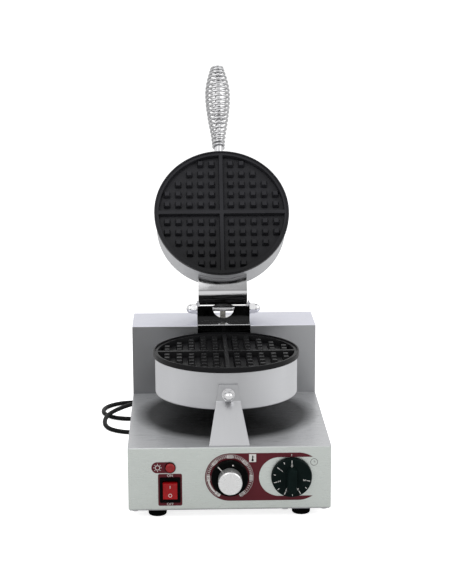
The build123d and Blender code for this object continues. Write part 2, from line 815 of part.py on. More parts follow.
# Two bolts through spacers hold the back of the lower drum to the column

apron_y = column_y - bracket_sheet
drum_rear_y = pan_y + sqrt(drum_radius**2 - (spacer_x - spacer_radius) ** 2)
with BuildPart() as pan_spacers:
    with BuildSketch(Plane.XZ.offset(-apron_y)):
        with Locations((-spacer_x, spacer_z), (spacer_x, spacer_z)):
            Circle(spacer_radius)
            Circle(pan_bolt_radius + fit, mode=Mode.SUBTRACT)
    extrude(amount=apron_y - pan_y)
    with BuildSketch(Plane.XY.offset(drum_bottom_z)):
        with Locations((0, pan_y)):
            Circle(drum_radius + fit)
    extrude(amount=drum_height, mode=Mode.SUBTRACT)
save(pan_spacers.part, "pan_spacers")

bolt_inside_y = pan_y + sqrt(inner_drum**2 - (spacer_x + 5.0) ** 2) - 0.2
with BuildPart() as pan_bolts:
    with BuildSketch(Plane.XZ.offset(-bolt_inside_y)):
        with Locations((-spacer_x, spacer_z), (spacer_x, spacer_z)):
            RegularPolygon(5.0, 6)
    extrude(amount=3.0)
    with BuildSketch(Plane.XZ.offset(-bolt_inside_y)):
        with Locations((-spacer_x, spacer_z), (spacer_x, spacer_z)):
            Circle(pan_bolt_radius)
    extrude(amount=-(column_y + sheet + 8.0 - bolt_inside_y))
    with BuildSketch(Plane.XZ.offset(-column_y - sheet)):
        with Locations((-spacer_x, spacer_z), (spacer_x, spacer_z)):
            RegularPolygon(5.0, 6)
    extrude(amount=-4.0)
save(pan_bolts.part, "pan_bolts")

with BuildPart() as lead_grommet:
    with BuildSketch(Plane.XZ.offset(-column_y - sheet - 2.0)):
        with Locations((0, spacer_z)):
            Circle(6.95)
            Circle(4.5, mode=Mode.SUBTRACT)
    extrude(amount=column_y + sheet + 2.0 - (pan_y + inner_drum) + 2.0)
save(lead_grommet.part, "lead_grommet")

# Hinge bracket on the column: foot, apron down the column's face, upright plate and two ears

plate_y = column_y + plate_setback
ear_inside = bracket_width / 2 - bracket_sheet
opening_top_z = top_z + 19.8
with BuildPart() as hinge_bracket:
    with BuildSketch(Plane.XY.offset(top_z)):
        with Locations((0, apron_y + foot_plate_depth / 2)):
            Rectangle(bracket_width, foot_plate_depth)
    extrude(amount=bracket_sheet)
    with BuildSketch(Plane.XZ.offset(-apron_y)):
        with Locations((0, top_z + bracket_sheet - apron_height / 2)):
            Rectangle(bracket_width, apron_height)
    extrude(amount=-bracket_sheet)
    fillet(hinge_bracket.edges().filter_by(Axis.X).group_by(Axis.Z)[-1].sort_by(Axis.Y)[0], bracket_sheet - 0.2)
    with BuildSketch(Plane.XZ.offset(-plate_y)):
        with Locations((0, top_z + plate_height / 2)):
            Rectangle(bracket_width, plate_height)
        with BuildLine():
            Line((-opening_radius, opening_top_z), (opening_radius, opening_top_z))
            ThreePointArc(
                (-opening_radius, opening_top_z),
                (0, opening_top_z - opening_radius),
                (opening_radius, opening_top_z),
            )
        make_face(mode=Mode.SUBTRACT)
    extrude(amount=-bracket_sheet)
    with BuildSketch(Plane.XY.offset(opening_top_z)):
        with Locations((0, plate_y + bracket_sheet)):
            Circle(opening_radius)
        with Locations((0, plate_y)):
            Rectangle(2 * opening_radius, 2 * opening_radius, align=(Align.CENTER, Align.MAX), mode=Mode.SUBTRACT)
    extrude(amount=1.2)
    for ear_x in (-bracket_width / 2, ear_inside):
        with BuildSketch(Plane.YZ.offset(ear_x)):
            with Locations((hinge_y, hinge_z)):
                Circle(ear_radius)
            Polygon(
                (plate_y, top_z),
                (plate_y, top_z + plate_height),
                (hinge_y, hinge_z + ear_radius),
                (hinge_y + ear_radius, hinge_z),
                (hinge_y + ear_radius, top_z),
                align=None,
            )
        extrude(amount=bracket_sheet)
    with BuildSketch(Plane.YZ.offset(-bracket_width / 2)):
        with Locations((hinge_y, hinge_z)):
            Circle(rod_radius + fit)
    extrude(amount=bracket_width, mode=Mode.SUBTRACT)
    with BuildSketch(Plane.XY.offset(top_z)):
        with Locations((-hinge_screw_x, hinge_screw_y), (hinge_screw_x, hinge_screw_y)):
            Circle(small_screw + fit)
        with Locations((0, hinge_lead_y)):
            Circle(hinge_lead_radius + 2.0)
    extrude(amount=bracket_sheet, mode=Mode.SUBTRACT)
    with BuildSketch(Plane.XZ.offset(-apron_y)):
        with Locations((-spacer_x, spacer_z), (spacer_x, spacer_z)):
            Circle(pan_bolt_radius + fit)
        with Locations((0, spacer_z)):
            Circle(7.0)
    extrude(amount=-bracket_sheet, mode=Mode.SUBTRACT)
save(hinge_bracket.part, "hinge_bracket")

screw_seats = [
    (x, y, z)
    for y, z, places in (
        (bracket_hole_y, deck_z + bracket_thickness, bracket_hole_x),
        (hinge_screw_y, top_z + bracket_sheet, hinge_screw_x),
    )
    for x in (-places, places)
]
with BuildPart() as bracket_screws:
    for seat_x, seat_y, seat_z in screw_seats:
        with BuildSketch(Plane(origin=(seat_x, seat_y, seat_z))):
            Circle(2 * small_screw)
        extrude(amount=1.2)
        with BuildSketch(Plane(origin=(seat_x, seat_y, seat_z))):
            Circle(small_screw)
        extrude(amount=-8.0)
save(bracket_screws.part, "bracket_screws")

nut_seat_x = bracket_width / 2 + washer_thickness
rod_half = nut_seat_x + hex_height + 3.0
with BuildPart() as hinge_rod:
    with BuildSketch(Plane.YZ.offset(-rod_half)):
        with Locations((hinge_y, hinge_z)):
            Circle(rod_radius)
    extrude(amount=2 * rod_half)
save(hinge_rod.part, "hinge_rod")

with BuildPart() as hinge_washers:
    for washer_x in (-nut_seat_x, bracket_width / 2):
        with BuildSketch(Plane.YZ.offset(washer_x)):
            with Locations((hinge_y, hinge_z)):
                Circle(washer_radius)
                Circle(rod_radius + fit, mode=Mode.SUBTRACT)
        extrude(amount=washer_thickness)
save(hinge_washers.part, "hinge_washers")

right_nut = dome_nut(Plane(origin=(nut_seat_x, hinge_y, hinge_z), x_dir=(0, 1, 0), z_dir=(1, 0, 0)))
save(Compound(children=[right_nut, mirror(right_nut, about=Plane.YZ)]), "hinge_nuts")

with BuildPart() as hinge_lead:
    with BuildSketch(Plane.XY.offset(top_z - 20.0)):
        with Locations((0, hinge_lead_y)):
            Circle(hinge_lead_radius)
    extrude(amount=20.0 + 9.0)
save(hinge_lead.part, "hinge_lead")

# Lid, drawn closed: the same castings turned over

for lower, name in (
    (lower_plate, "upper_plate"),
    (lower_element, "upper_element"),
    (lower_clamp, "upper_clamp"),
    (lower_nuts, "upper_nuts"),
    (lower_insulation, "upper_insulation"),
):
    save(opened(mirror(lower.part, about=meeting_plane)), name)

lid_top_z = 2 * meeting_z - drum_bottom_z
lid_rim_z = rim_z + rim_gap
handle_z = lid_rim_z + handle_rise
lid_lead_z = lid_rim_z + 43.0
with BuildPart() as upper_drum:
    with BuildSketch(Plane.XY.offset(lid_top_z)):
        with Locations((0, pan_y)):
            Circle(drum_radius)
    extrude(amount=-drum_height)
    fillet(upper_drum.edges().group_by(Axis.Z)[-1], drum_edge_radius)
    offset(amount=-drum_sheet, openings=upper_drum.faces().sort_by(Axis.Z)[0])
    with BuildSketch(Plane.XZ.offset(-pan_y + drum_radius - 10.0)):
        with Locations((handle_offset, handle_z)):
            Circle(handle_rod_radius + fit)
    extrude(amount=20.0, mode=Mode.SUBTRACT)
    with BuildSketch(Plane.XZ.offset(-pan_y - drum_radius + 15.0)):
        with Locations((0, lid_lead_z)):
            Circle(hinge_lead_radius + fit)
    extrude(amount=-20.0, mode=Mode.SUBTRACT)
save(opened(upper_drum.part), "upper_drum")

# Lid bracket: a channel with a folded web, welded to the back of the lid's drum

web_z = lid_rim_z + 24.6 - 0.8
fold_a = 16.0
fold_b = 8.0
fold_c = 15.0
angle_b = radians(17.0)
angle_c = radians(42.0)
web_start_y = pan_y + drum_radius
lid_bracket_half = ear_inside - side_play
web_points = [
    (pan_y + inner_drum - 8.0, web_z),
    (web_start_y + fold_a, web_z),
    (web_start_y + fold_a + fold_b * cos(angle_b), web_z + fold_b * sin(angle_b)),
    (
        web_start_y + fold_a + fold_b * cos(angle_b) + fold_c * cos(angle_c),
        web_z + fold_b * sin(angle_b) + fold_c * sin(angle_c),
    ),
]
stop_lift = top_z + bracket_sheet + seat - hinge_z
stop_y = 8.0
stop_z = (stop_lift + stop_y * sin(opening_turn)) / cos(opening_turn)
with BuildPart() as lid_bracket:
    with BuildSketch(Plane.YZ.offset(-lid_bracket_half)):
        Polygon(
            web_points[0],
            web_points[1],
            web_points[2],
            web_points[3],
            (web_points[3][0] - bracket_sheet, web_points[3][1] + bracket_sheet),
            (web_points[2][0] - 0.4, web_points[2][1] + bracket_sheet),
            (web_points[1][0] - 0.2, web_points[1][1] + bracket_sheet),
            (web_points[0][0], web_points[0][1] + bracket_sheet),
            align=None,
        )
    extrude(amount=2 * lid_bracket_half)
    for flange_x in (-lid_bracket_half, lid_bracket_half - bracket_sheet):
        with BuildSketch(Plane.YZ.offset(flange_x)):
            Polygon(
                web_points[0],
                web_points[1],
                web_points[2],
                web_points[3],
                (hinge_y - lid_ear_radius, hinge_z),
                (hinge_y, hinge_z - lid_ear_radius + 2.0),
                (hinge_y + lid_ear_radius, hinge_z),
                (hinge_y + stop_y, hinge_z + stop_z),
                (hinge_y - 14.0, hinge_z + 30.0),
                (pan_y + inner_drum - 8.0, lid_top_z - 14.0),
                align=None,
            )
            with Locations((hinge_y, hinge_z)):
                Circle(lid_ear_radius)
                Circle(rod_radius + running, mode=Mode.SUBTRACT)
        extrude(amount=bracket_sheet)
    with BuildSketch(Plane.XY.offset(lid_rim_z)):
        with Locations((0, pan_y)):
            Circle(drum_radius + fit)
    extrude(amount=2 * drum_height, mode=Mode.SUBTRACT)
save(opened(lid_bracket.part), "lid_bracket")

lead_end_y = hinge_y - 12.0
with BuildPart() as lid_lead:
    with BuildSketch(Plane.XZ.offset(-(pan_y + inner_drum - 12.0))):
        with Locations((0, lid_lead_z)):
            Circle(hinge_lead_radius)
    extrude(amount=-(lead_end_y - pan_y - inner_drum + 12.0))
save(opened(lid_lead.part), "lid_lead")

# Handle: a rod through the drum's wall, and a barrel of open wire turns round it

rod_start = inner_drum - 11.0


def across_handle(reach):
    """A plane square to the handle at a distance from the middle of the lid."""
    return Plane(origin=(handle_offset, pan_y - reach, handle_z), x_dir=(1, 0, 0), z_dir=(0, -1, 0))


with BuildPart() as handle_rod:
    with BuildSketch(across_handle(rod_start)):
        Circle(handle_rod_radius)
    extrude(amount=handle_reach - 6.0 - rod_start)
save(opened(handle_rod.part), "handle_rod")

with BuildPart() as handle_nut:
    with BuildSketch(across_handle(inner_drum - 1.2)):
        RegularPolygon(hex_radius, 6)
        Circle(handle_rod_radius + fit, mode=Mode.SUBTRACT)
    extrude(amount=-hex_height)
save(opened(handle_nut.part), "handle_nut")

with BuildPart() as handle_collar:
    with BuildSketch(across_handle(drum_radius + fit)):
        Circle(collar_radius)
        Circle(handle_rod_radius + fit, mode=Mode.SUBTRACT)
    extrude(amount=collar_length + coil_start - drum_radius - 16.0)
save(opened(handle_collar.part), "handle_collar")

tip_length = 9.0
with BuildPart() as handle_tip:
    with BuildSketch(across_handle(handle_reach - tip_length)):
        Circle(coil_tip_radius - coil_wire - fit)
    extrude(amount=tip_length)
    fillet(handle_tip.edges().filter_by(GeomType.CIRCLE).sort_by(Axis.Y)[0], 2.5)
    with BuildSketch(across_handle(handle_reach - tip_length)):
        Circle(handle_rod_radius + fit)
    extrude(amount=tip_length - 6.0 + 0.05, mode=Mode.SUBTRACT)
save(opened(handle_tip.part), "handle_tip")


def smooth_step(value):
    """Nought below 0, one above 1, with level ends."""
    value = min(max(value, 0.0), 1.0)
    return value * value * (3 - 2 * value)


def pitch_at(turn):
    """Rise of the wire per turn, tight at both ends."""
    near = min(turn, coil_turns - turn) / coil_blend_turns
    return coil_end_pitch + (coil_mid_pitch - coil_end_pitch) * smooth_step(near)


def rise_at(turn, steps=400):
    """How far along the handle the wire has come after some turns."""
    size = turn / steps
    return sum(pitch_at((i + 0.5) * size) * size for i in range(steps))


coil_length = rise_at(coil_turns)


def barrel_radius(rise):
    """Radius of the wire's centre line along the handle."""
    if rise < coil_belly:
        swell = sin(pi / 2 * rise / coil_belly) ** 1.5
        return coil_root_radius + (coil_belly_radius - coil_root_radius) * swell
    part = (rise - coil_belly) / (coil_length - coil_belly)
    return coil_tip_radius + (coil_belly_radius - coil_tip_radius) * cos(pi / 2 * min(part, 1.0))


def wire_point(turn):
    """A point of the handle's wire after some turns, and its direction there."""
    def place(t):
        rise = rise_at(max(t, 0.0))
        radius = barrel_radius(rise)
        return Vector(
            handle_offset + radius * cos(2 * pi * t),
            pan_y - coil_start - rise,
            handle_z + radius * sin(2 * pi * t),
        )

    step = 0.002
    low, high = max(turn - step, 0.0), min(turn + step, coil_turns - 1e-6)
    return place(turn), (place(high) - place(low)).normalized()


def biarc(start, start_way, end, end_way):
    """Two arcs that leave a point one way and reach another point another way."""
    chord = end - start
    total = chord.dot(start_way + end_way)
    spare = 2 * (1 - start_way.dot(end_way))
    reach = (-total + sqrt(total * total + spare * chord.dot(chord))) / spare
    middle = (start + end + (start_way - end_way) * reach) * 0.5
    TangentArc(start, middle, tangent=start_way)
    TangentArc(middle, end, tangent=end_way * -1, tangent_from_first=False)


def arcs_through(stations):
    """Biarcs along a list of points with directions."""
    for (start, start_way), (end, end_way) in zip(stations, stations[1:]):
        biarc(start, start_way, end, end_way)


def least_gap(points, along, wire):
    """Smallest gap between two stretches of a wound tube that are a half turn or more apart."""
    best = 1e9
    for i, first in enumerate(points):
        for second in points[i + along:]:
            best = min(best, (first - second).length)
    return best - 2 * wire


stations = [wire_point(i / 2) for i in range(2 * coil_turns + 1)]
with BuildPart() as handle_coil:
    with BuildLine() as wire_path:
        Line(stations[0][0] - stations[0][1] * 2 * coil_wire, stations[0][0])
        arcs_through(stations)
        Line(stations[-1][0], stations[-1][0] + stations[-1][1] * 2 * coil_wire)
    with BuildSketch(Plane(origin=wire_path.wire() @ 0, z_dir=wire_path.wire() % 0)):
        Circle(coil_wire)
    sweep(path=wire_path.wire())
wire_length = wire_path.wire().length
print("handle coil", coil_length, "long, wire", wire_length)
print("handle coil volume over section times length", handle_coil.part.volume / (pi * coil_wire**2 * wire_length))
samples = [wire_point(i / 24)[0] for i in range(24 * coil_turns + 1)]
print("handle coil least gap", least_gap(samples, 18, coil_wire))
save(opened(handle_coil.part), "handle_coil")

# Mains lead: gland, free stretch on the table, coil put away behind the stand, plug

with BuildPart() as cord_gland:
    with BuildSketch(Plane.XZ.offset(-rear_y)):
        with Locations((gland_x, gland_z)):
            Circle(cord_radius + 6.0)
    extrude(amount=-4.0)
    with BuildSketch(Plane.XZ.offset(-rear_y - 4.0)):
        with Locations((gland_x, gland_z)):
            Circle(cord_radius + 3.4)
    extrude(amount=-(gland_length - 4.0), taper=4)
    with BuildSketch(Plane.XZ.offset(-rear_y + 14.0)):
        with Locations((gland_x, gland_z)):
            Circle(cord_radius + 4.0 - fit)
    extrude(amount=-14.0)
    with BuildSketch(Plane.XZ.offset(-rear_y - gland_length + 6.0)):
        with Locations((gland_x, gland_z)):
            Circle(cord_radius + fit)
    extrude(amount=-6.0, mode=Mode.SUBTRACT)
save(cord_gland.part, "cord_gland")

cord_z = cord_radius + cord_lift
coil_y = rear_y + coil_gap_behind + loop_outer
cord_over = cord_z + 10.2


def behind(x, y, z=cord_z):
    """A point of the lead, set out from the gland and the back of the stand."""
    return (gland_x + x, rear_y + y, z)


route = [
    behind(0.0, gland_length - 6.0, gland_z),
    behind(0.0, 46.0, gland_z),
    behind(0.0, 72.0, 28.0),
    behind(1.0, 100.0, 15.0),
    behind(1.0, 128.0, 6.0),
    behind(-1.6, 156.0),
    behind(-27.0, 181.4),
    behind(-63.0, 181.4),
    behind(-88.4, 156.0),
    behind(-88.4, 120.0),
    behind(-63.0, 94.6),
    behind(-27.0, 94.6),
    behind(6.0, 88.0),
    behind(40.0, 96.0),
    behind(62.0, 122.0),
    behind(60.0, 156.0, 7.0),
    behind(34.0, 178.0, 11.5),
    behind(0.0, 174.0, cord_over),
    behind(-32.0, 150.0, cord_over),
    behind(-60.0, 122.0, cord_over),
    behind(-83.4, 90.0, 10.0),
    behind(-83.4, 54.0),
    behind(-58.0, 28.6),
    behind(-22.0, 26.0),
    behind(14.0, 29.0),
    behind(52.0, coil_gap_behind),
    (coil_x - 8.0, coil_y - loop_outer, cord_z),
]


def route_radii(points):
    """Arc radius at each corner: 0.45 of its shorter run over the tangent of half the turn."""
    radii = []
    for before, corner, after in zip(points, points[1:], points[2:]):
        come = Vector(*corner) - Vector(*before)
        leave = Vector(*after) - Vector(*corner)
        turn = radians(come.get_angle(leave))
        radii.append(0.45 * min(come.length, leave.length) / tan(turn / 2))
    return radii


radii = route_radii(route)
print("cord radii", [round(r, 1) for r in radii])
with BuildPart() as power_cord:
    with BuildLine() as cord_path:
        FilletPolyline(*route, radius=radii)
    with BuildSketch(Plane(origin=cord_path.wire() @ 0, z_dir=cord_path.wire() % 0)):
        Circle(cord_radius)
    sweep(path=cord_path.wire())
cord_length = cord_path.wire().length
print("cord free length", cord_length)
print("cord volume ratio", power_cord.part.volume / (pi * cord_radius**2 * cord_length))
save(power_cord.part, "power_cord")


def loop_place(turn):
    """A point of the put-away coil: in on the table, up a layer, and out again."""
    inner_turns = loop_count
    climb = 0.5
    if turn <= inner_turns:
        radius = loop_outer - loop_step * turn
        height = 0.0
    elif turn <= inner_turns + climb:
        share = (turn - inner_turns) / climb
        radius = loop_outer - loop_step * inner_turns
        height = loop_climb * smooth_step(share)
    else:
        radius = loop_outer - loop_step * (2 * inner_turns + climb - turn)
        height = loop_climb
    angle = 2 * pi * turn - pi / 2
    return Vector(coil_x + radius * cos(angle), coil_y + radius * sin(angle), cord_z + height)


def loop_station(turn, last):
    """A point of the coil with its direction."""
    step = 0.002
    low, high = max(turn - step, 0.0), min(turn + step, last)
    way = (loop_place(high) - loop_place(low)).normalized()
    if turn in (0, last):
        way = Vector(1, 0, 0)
    return loop_place(turn), way


last_turn = 2 * loop_count + 0.5
loop_stations = [loop_station(i / 4, last_turn) for i in range(int(4 * last_turn) + 1)]
with BuildPart() as cord_coil:
    with BuildLine() as coil_path:
        Line(route[-1], loop_stations[0][0])
        arcs_through(loop_stations)
        Line(loop_stations[-1][0], loop_stations[-1][0] + Vector(1, 0, 0) * coil_tail)
    with BuildSketch(Plane(origin=coil_path.wire() @ 0, z_dir=coil_path.wire() % 0)):
        Circle(cord_radius)
    sweep(path=coil_path.wire())
coiled_length = coil_path.wire().length
print("cord coil length", coiled_length, "whole cord", cord_length + coiled_length)
print("coil volume ratio", cord_coil.part.volume / (pi * cord_radius**2 * coiled_length))
loop_samples = [loop_place(i / 24) for i in range(int(24 * last_turn) + 1)]
print("cord coil least gap", least_gap(loop_samples, 12, cord_radius))
save(cord_coil.part, "cord_coil")

plug_start = coil_path.wire() @ 1
plug_way = coil_path.wire() % 1
plug_plane = Plane(origin=plug_start, x_dir=(0, 0, 1), z_dir=plug_way)
plug_half = plug_start.Z - cord_lift
with BuildPart() as power_plug:
    with BuildSketch(plug_plane):
        Circle(cord_radius + 1.8)
    with BuildSketch(plug_plane.offset(0.4 * plug_length)):
        RectangleRounded(2 * plug_half - 3.0, 20.0, 4.0)
    loft()
    with BuildSketch(plug_plane.offset(0.4 * plug_length)):
        RectangleRounded(2 * plug_half, 26.0, 5.0)
    extrude(amount=0.6 * plug_length)
    with BuildSketch(plug_plane.offset(plug_length)):
        with Locations((0, -9.5), (0, 9.5)):
            Circle(2.4)
    extrude(amount=19.0)
save(power_plug.part, "power_plug")

with BuildPart() as lower_lead:
    with BuildLine() as lead_path:
        FilletPolyline(
            (0, pan_y + inner_drum - 6.0, spacer_z),
            (0, column_y + 20.0, spacer_z),
            (-5.0, lead_hole_y, deck_z + 10.0),
            (-6.0, lead_hole_y, foot_height + 40.0),
            radius=14.0,
        )
    with BuildSketch(Plane(origin=lead_path.wire() @ 0, z_dir=lead_path.wire() % 0)):
        Circle(3.0)
    sweep(path=lead_path.wire())
save(lower_lead.part, "lower_lead")
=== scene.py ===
"""Looks of the round waffle maker: finishes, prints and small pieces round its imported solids."""
import json
from math import cos, pi, radians, sin

import bmesh
import bpy
from bpy.props import FloatProperty, FloatVectorProperty, IntProperty, PointerProperty
from mathutils import Matrix, Vector


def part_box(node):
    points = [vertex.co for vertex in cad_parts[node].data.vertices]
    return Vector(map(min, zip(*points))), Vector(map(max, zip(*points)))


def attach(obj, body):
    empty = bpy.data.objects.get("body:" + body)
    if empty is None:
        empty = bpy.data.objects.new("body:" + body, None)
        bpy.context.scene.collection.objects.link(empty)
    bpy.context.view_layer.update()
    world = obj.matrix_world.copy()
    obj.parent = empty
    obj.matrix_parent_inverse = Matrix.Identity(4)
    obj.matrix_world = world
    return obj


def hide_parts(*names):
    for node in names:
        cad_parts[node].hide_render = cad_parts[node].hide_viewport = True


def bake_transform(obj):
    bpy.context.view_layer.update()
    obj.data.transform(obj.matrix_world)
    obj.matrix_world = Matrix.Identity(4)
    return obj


bl_info = {
    "name": "Round waffle maker",
    "version": (1, 0, 0),
    "blender": (4, 5, 0),
    "location": "View3D > Sidebar > Waffle maker",
    "description": "Dresses the packed solids of a round waffle maker",
    "category": "Object",
}

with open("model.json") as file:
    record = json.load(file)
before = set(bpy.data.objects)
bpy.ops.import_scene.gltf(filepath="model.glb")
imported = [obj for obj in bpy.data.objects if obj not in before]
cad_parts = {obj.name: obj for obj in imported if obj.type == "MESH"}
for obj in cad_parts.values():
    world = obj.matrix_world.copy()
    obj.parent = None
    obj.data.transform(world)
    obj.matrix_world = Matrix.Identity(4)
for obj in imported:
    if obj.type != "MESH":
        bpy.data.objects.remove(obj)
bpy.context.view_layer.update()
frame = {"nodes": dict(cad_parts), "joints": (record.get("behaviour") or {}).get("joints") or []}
NODES = frame["nodes"]
JOINTS = {joint["name"]: joint for joint in frame["joints"]}

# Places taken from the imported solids, in metres
PANEL_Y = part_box("base_housing")[0].y
HALF_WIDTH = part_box("base_housing")[1].x
REAR_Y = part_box("rear_panel")[1].y
PAN_Y = (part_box("lower_plate")[0].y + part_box("lower_plate")[1].y) / 2
LABEL_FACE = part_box("control_label")[0].y
HINGE = Vector(JOINTS["lid_hinge"]["pos_m"])
OPEN_TURN = radians(JOINTS["lid_hinge"]["range_deg"][1])
DIAL = (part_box("thermostat_cap")[0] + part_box("thermostat_cap")[1]) / 2
TIMER = (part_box("timer_shaft")[0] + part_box("timer_shaft")[1]) / 2
SWITCH = (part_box("switch_body")[0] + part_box("switch_body")[1]) / 2
LAMP = (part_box("lamp_lens")[0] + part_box("lamp_lens")[1]) / 2


class WaffleSizes(bpy.types.PropertyGroup):
    """Sizes of the pieces that are modelled here"""

    cord_diameter: FloatProperty(
        name="Lead diameter",
        description="Outside of the mains lead",
        default=0.0065,
        unit="LENGTH",
    )
    wire_radius: FloatProperty(
        name="Handle wire radius",
        description="Half the thickness of the handle's wire",
        default=0.0016,
        unit="LENGTH",
    )
    handle_turns: IntProperty(name="Handle turns", description="Turns of wire round the handle", default=20)
    print_depth: FloatProperty(
        name="Print depth",
        description="How far printed marks stand proud",
        default=0.00008,
        unit="LENGTH",
    )
    dial_pointer: FloatProperty(
        name="Pointer",
        description="Where the heat dial points, from the top",
        default=radians(-43),
        unit="ROTATION",
    )


class WaffleColours(bpy.types.PropertyGroup):
    """Colours of the finishes"""

    panel: FloatVectorProperty(
        name="Panel",
        description="Satin steel of the front panel",
        subtype="COLOR",
        default=(0.56, 0.595, 0.57),
    )
    deck: FloatVectorProperty(
        name="Deck",
        description="Brushed steel of the deck",
        subtype="COLOR",
        default=(0.33, 0.335, 0.345),
    )
    column: FloatVectorProperty(
        name="Column",
        description="Steel of the column's face",
        subtype="COLOR",
        default=(0.23, 0.233, 0.24),
    )
    drum: FloatVectorProperty(
        name="Drums",
        description="Satin steel of both drums",
        subtype="COLOR",
        default=(0.55, 0.555, 0.57),
    )
    polished: FloatVectorProperty(
        name="Polished steel",
        description="Hinge and fixings",
        subtype="COLOR",
        default=(0.72, 0.72, 0.73),
    )
    coating: FloatVectorProperty(
        name="Plate coating",
        description="Non-stick coating",
        subtype="COLOR",
        default=(0.006, 0.006, 0.007),
    )
    label: FloatVectorProperty(
        name="Label",
        description="Printed film on the panel",
        subtype="COLOR",
        default=(0.088, 0.010, 0.016),
    )
    marks: FloatVectorProperty(
        name="Marks",
        description="White print",
        subtype="COLOR",
        default=(0.66, 0.65, 0.63),
    )
    red: FloatVectorProperty(
        name="Red",
        description="Switch and lamp",
        subtype="COLOR",
        default=(0.30, 0.003, 0.005),
    )
    black: FloatVectorProperty(
        name="Black",
        description="Knobs, feet and lead",
        subtype="COLOR",
        default=(0.004, 0.0045, 0.0045),
    )


def sizes():
    return bpy.context.scene.waffle_sizes


def colours():
    return bpy.context.scene.waffle_colours


# Finishes


def dimmed(colour, share):
    """A colour made darker or lighter."""
    return [channel * share for channel in colour]


def solid(colour, share=1.0):
    """A colour as a shader's socket takes it."""
    return (*dimmed(colour, share), 1)


class Finish:
    """One material: its shader, and short ways to lay out the pattern that feeds it."""

    def __init__(self, name, colour, roughness, metallic=0.0, **sockets):
        self.material = bpy.data.materials.new(name)
        self.material.use_nodes = True
        self.tree = self.material.node_tree
        self.shader = self.tree.nodes["Principled BSDF"]
        self.column = 0
        self.colour = tuple(colour)
        self.set_shader("Base Color", (*self.colour, 1))
        self.set_shader("Roughness", roughness)
        self.set_shader("Metallic", metallic)
        for socket, value in sockets.items():
            self.set_shader(socket.replace("_", " "), value)
        self.coordinates = self.add("ShaderNodeTexCoord")

    def set_shader(self, socket, value):
        self.shader.inputs[socket].default_value = value

    def add(self, kind, values=None, **settings):
        """Adds a node and sets what is on it. A socket given as a value is linked."""
        node = self.tree.nodes.new(kind)
        self.column += 1
        node.location = (-220 * self.column, 0)
        for setting, value in settings.items():
            setattr(node, setting, value)
        for socket, value in (values or {}).items():
            self.put(node.inputs[socket], value)
        return node

    def put(self, socket, value):
        if isinstance(value, bpy.types.NodeSocket):
            self.tree.links.new(value, socket)
        else:
            socket.default_value = value

    def grain(self, stretch, detail=3.0, turn=(0, 0, 0)):
        """Noise in object space, stretched along some axes: its value from 0 to 1."""
        mapping = self.add(
            "ShaderNodeMapping",
            {"Vector": self.coordinates.outputs["Object"], "Scale": stretch, "Rotation": turn},
        )
        noise = self.add("ShaderNodeTexNoise", {"Vector": mapping.outputs[0], "Scale": 1.0, "Detail": detail})
        return noise.outputs[0]

    def spread(self, value, low, high, start=0.3, end=0.7):
        """A value carried from one range to another."""
        node = self.add(
            "ShaderNodeMapRange",
            {"Value": value, "From Min": start, "From Max": end, "To Min": low, "To Max": high},
        )
        return node.outputs[0]

    def mix(self, factor, first, second):
        """One colour turning into another."""
        node = self.add("ShaderNodeMix", data_type="RGBA")
        self.put(node.inputs[0], factor)
        self.put(node.inputs[6], first)
        self.put(node.inputs[7], second)
        return node.outputs[2]

    def shade(self, factor, dark=0.85, light=1.1, colour=None):
        """The finish's colour, a little darker and lighter across the piece."""
        colour = colour or self.colour
        lighter = [min(channel, 1) for channel in dimmed(colour, light)]
        return self.mix(factor, solid(colour, dark), solid(lighter))

    def tint(self, share):
        """The finish's colour, darkened."""
        return solid(self.colour, share)

    def paint(self, value):
        self.put(self.shader.inputs["Base Color"], value)

    def gloss(self, value):
        self.put(self.shader.inputs["Roughness"], value)

    def dents(self, value, depth, strength=1.0):
        """Bump from a value, as deep as the real surface."""
        node = self.add("ShaderNodeBump", {"Height": value, "Distance": depth, "Strength": strength})
        self.put(self.shader.inputs["Normal"], node.outputs[0])

    def facing(self, axis):
        """How far the surface faces along an axis of the object."""
        parts = self.add("ShaderNodeSeparateXYZ", {"Vector": self.coordinates.outputs["Normal"]})
        return parts.outputs[axis]

    def along(self, axis, low, high):
        """From 0 at one place to 1 at another, along an axis of the object."""
        parts = self.add("ShaderNodeSeparateXYZ", {"Vector": self.coordinates.outputs["Object"]})
        return self.spread(parts.outputs[axis], 0.0, 1.0, low, high)

    def pan_shade_mask(self, near, far):
        """From 0 under the pan to 1 away from it: the mask of the deck's painted shadow."""
        place = self.add(
            "ShaderNodeMapping",
            {
                "Vector": self.coordinates.outputs["Object"],
                "Location": (0, -PAN_Y, 0),
                "Scale": (1, 1, 0),
            },
        )
        away = self.add("ShaderNodeVectorMath", {0: place.outputs[0]}, operation="LENGTH")
        return self.spread(away.outputs[1], 0.0, 1.0, near, far)

    def sideways(self):
        """From 0 where the surface faces the front to 1 where it faces a side."""
        across = self.add("ShaderNodeMath", {0: self.facing(0)}, operation="ABSOLUTE")
        return self.spread(across.outputs[0], 0.0, 1.0, 0.15, 0.75)


def brushed(name, colour, roughness, stretch, turn=(0, 0, 0), depth=0.00002):
    """Steel with fine grinding lines, and slow changes of tone."""
    finish = Finish(name, colour, roughness, metallic=1.0)
    lines = finish.grain(stretch, detail=4.0, turn=turn)
    finish.gloss(finish.spread(lines, roughness - 0.07, roughness + 0.10))
    finish.paint(finish.shade(finish.grain((9, 9, 9)), 0.93, 1.05))
    finish.dents(lines, depth, 0.35)
    return finish


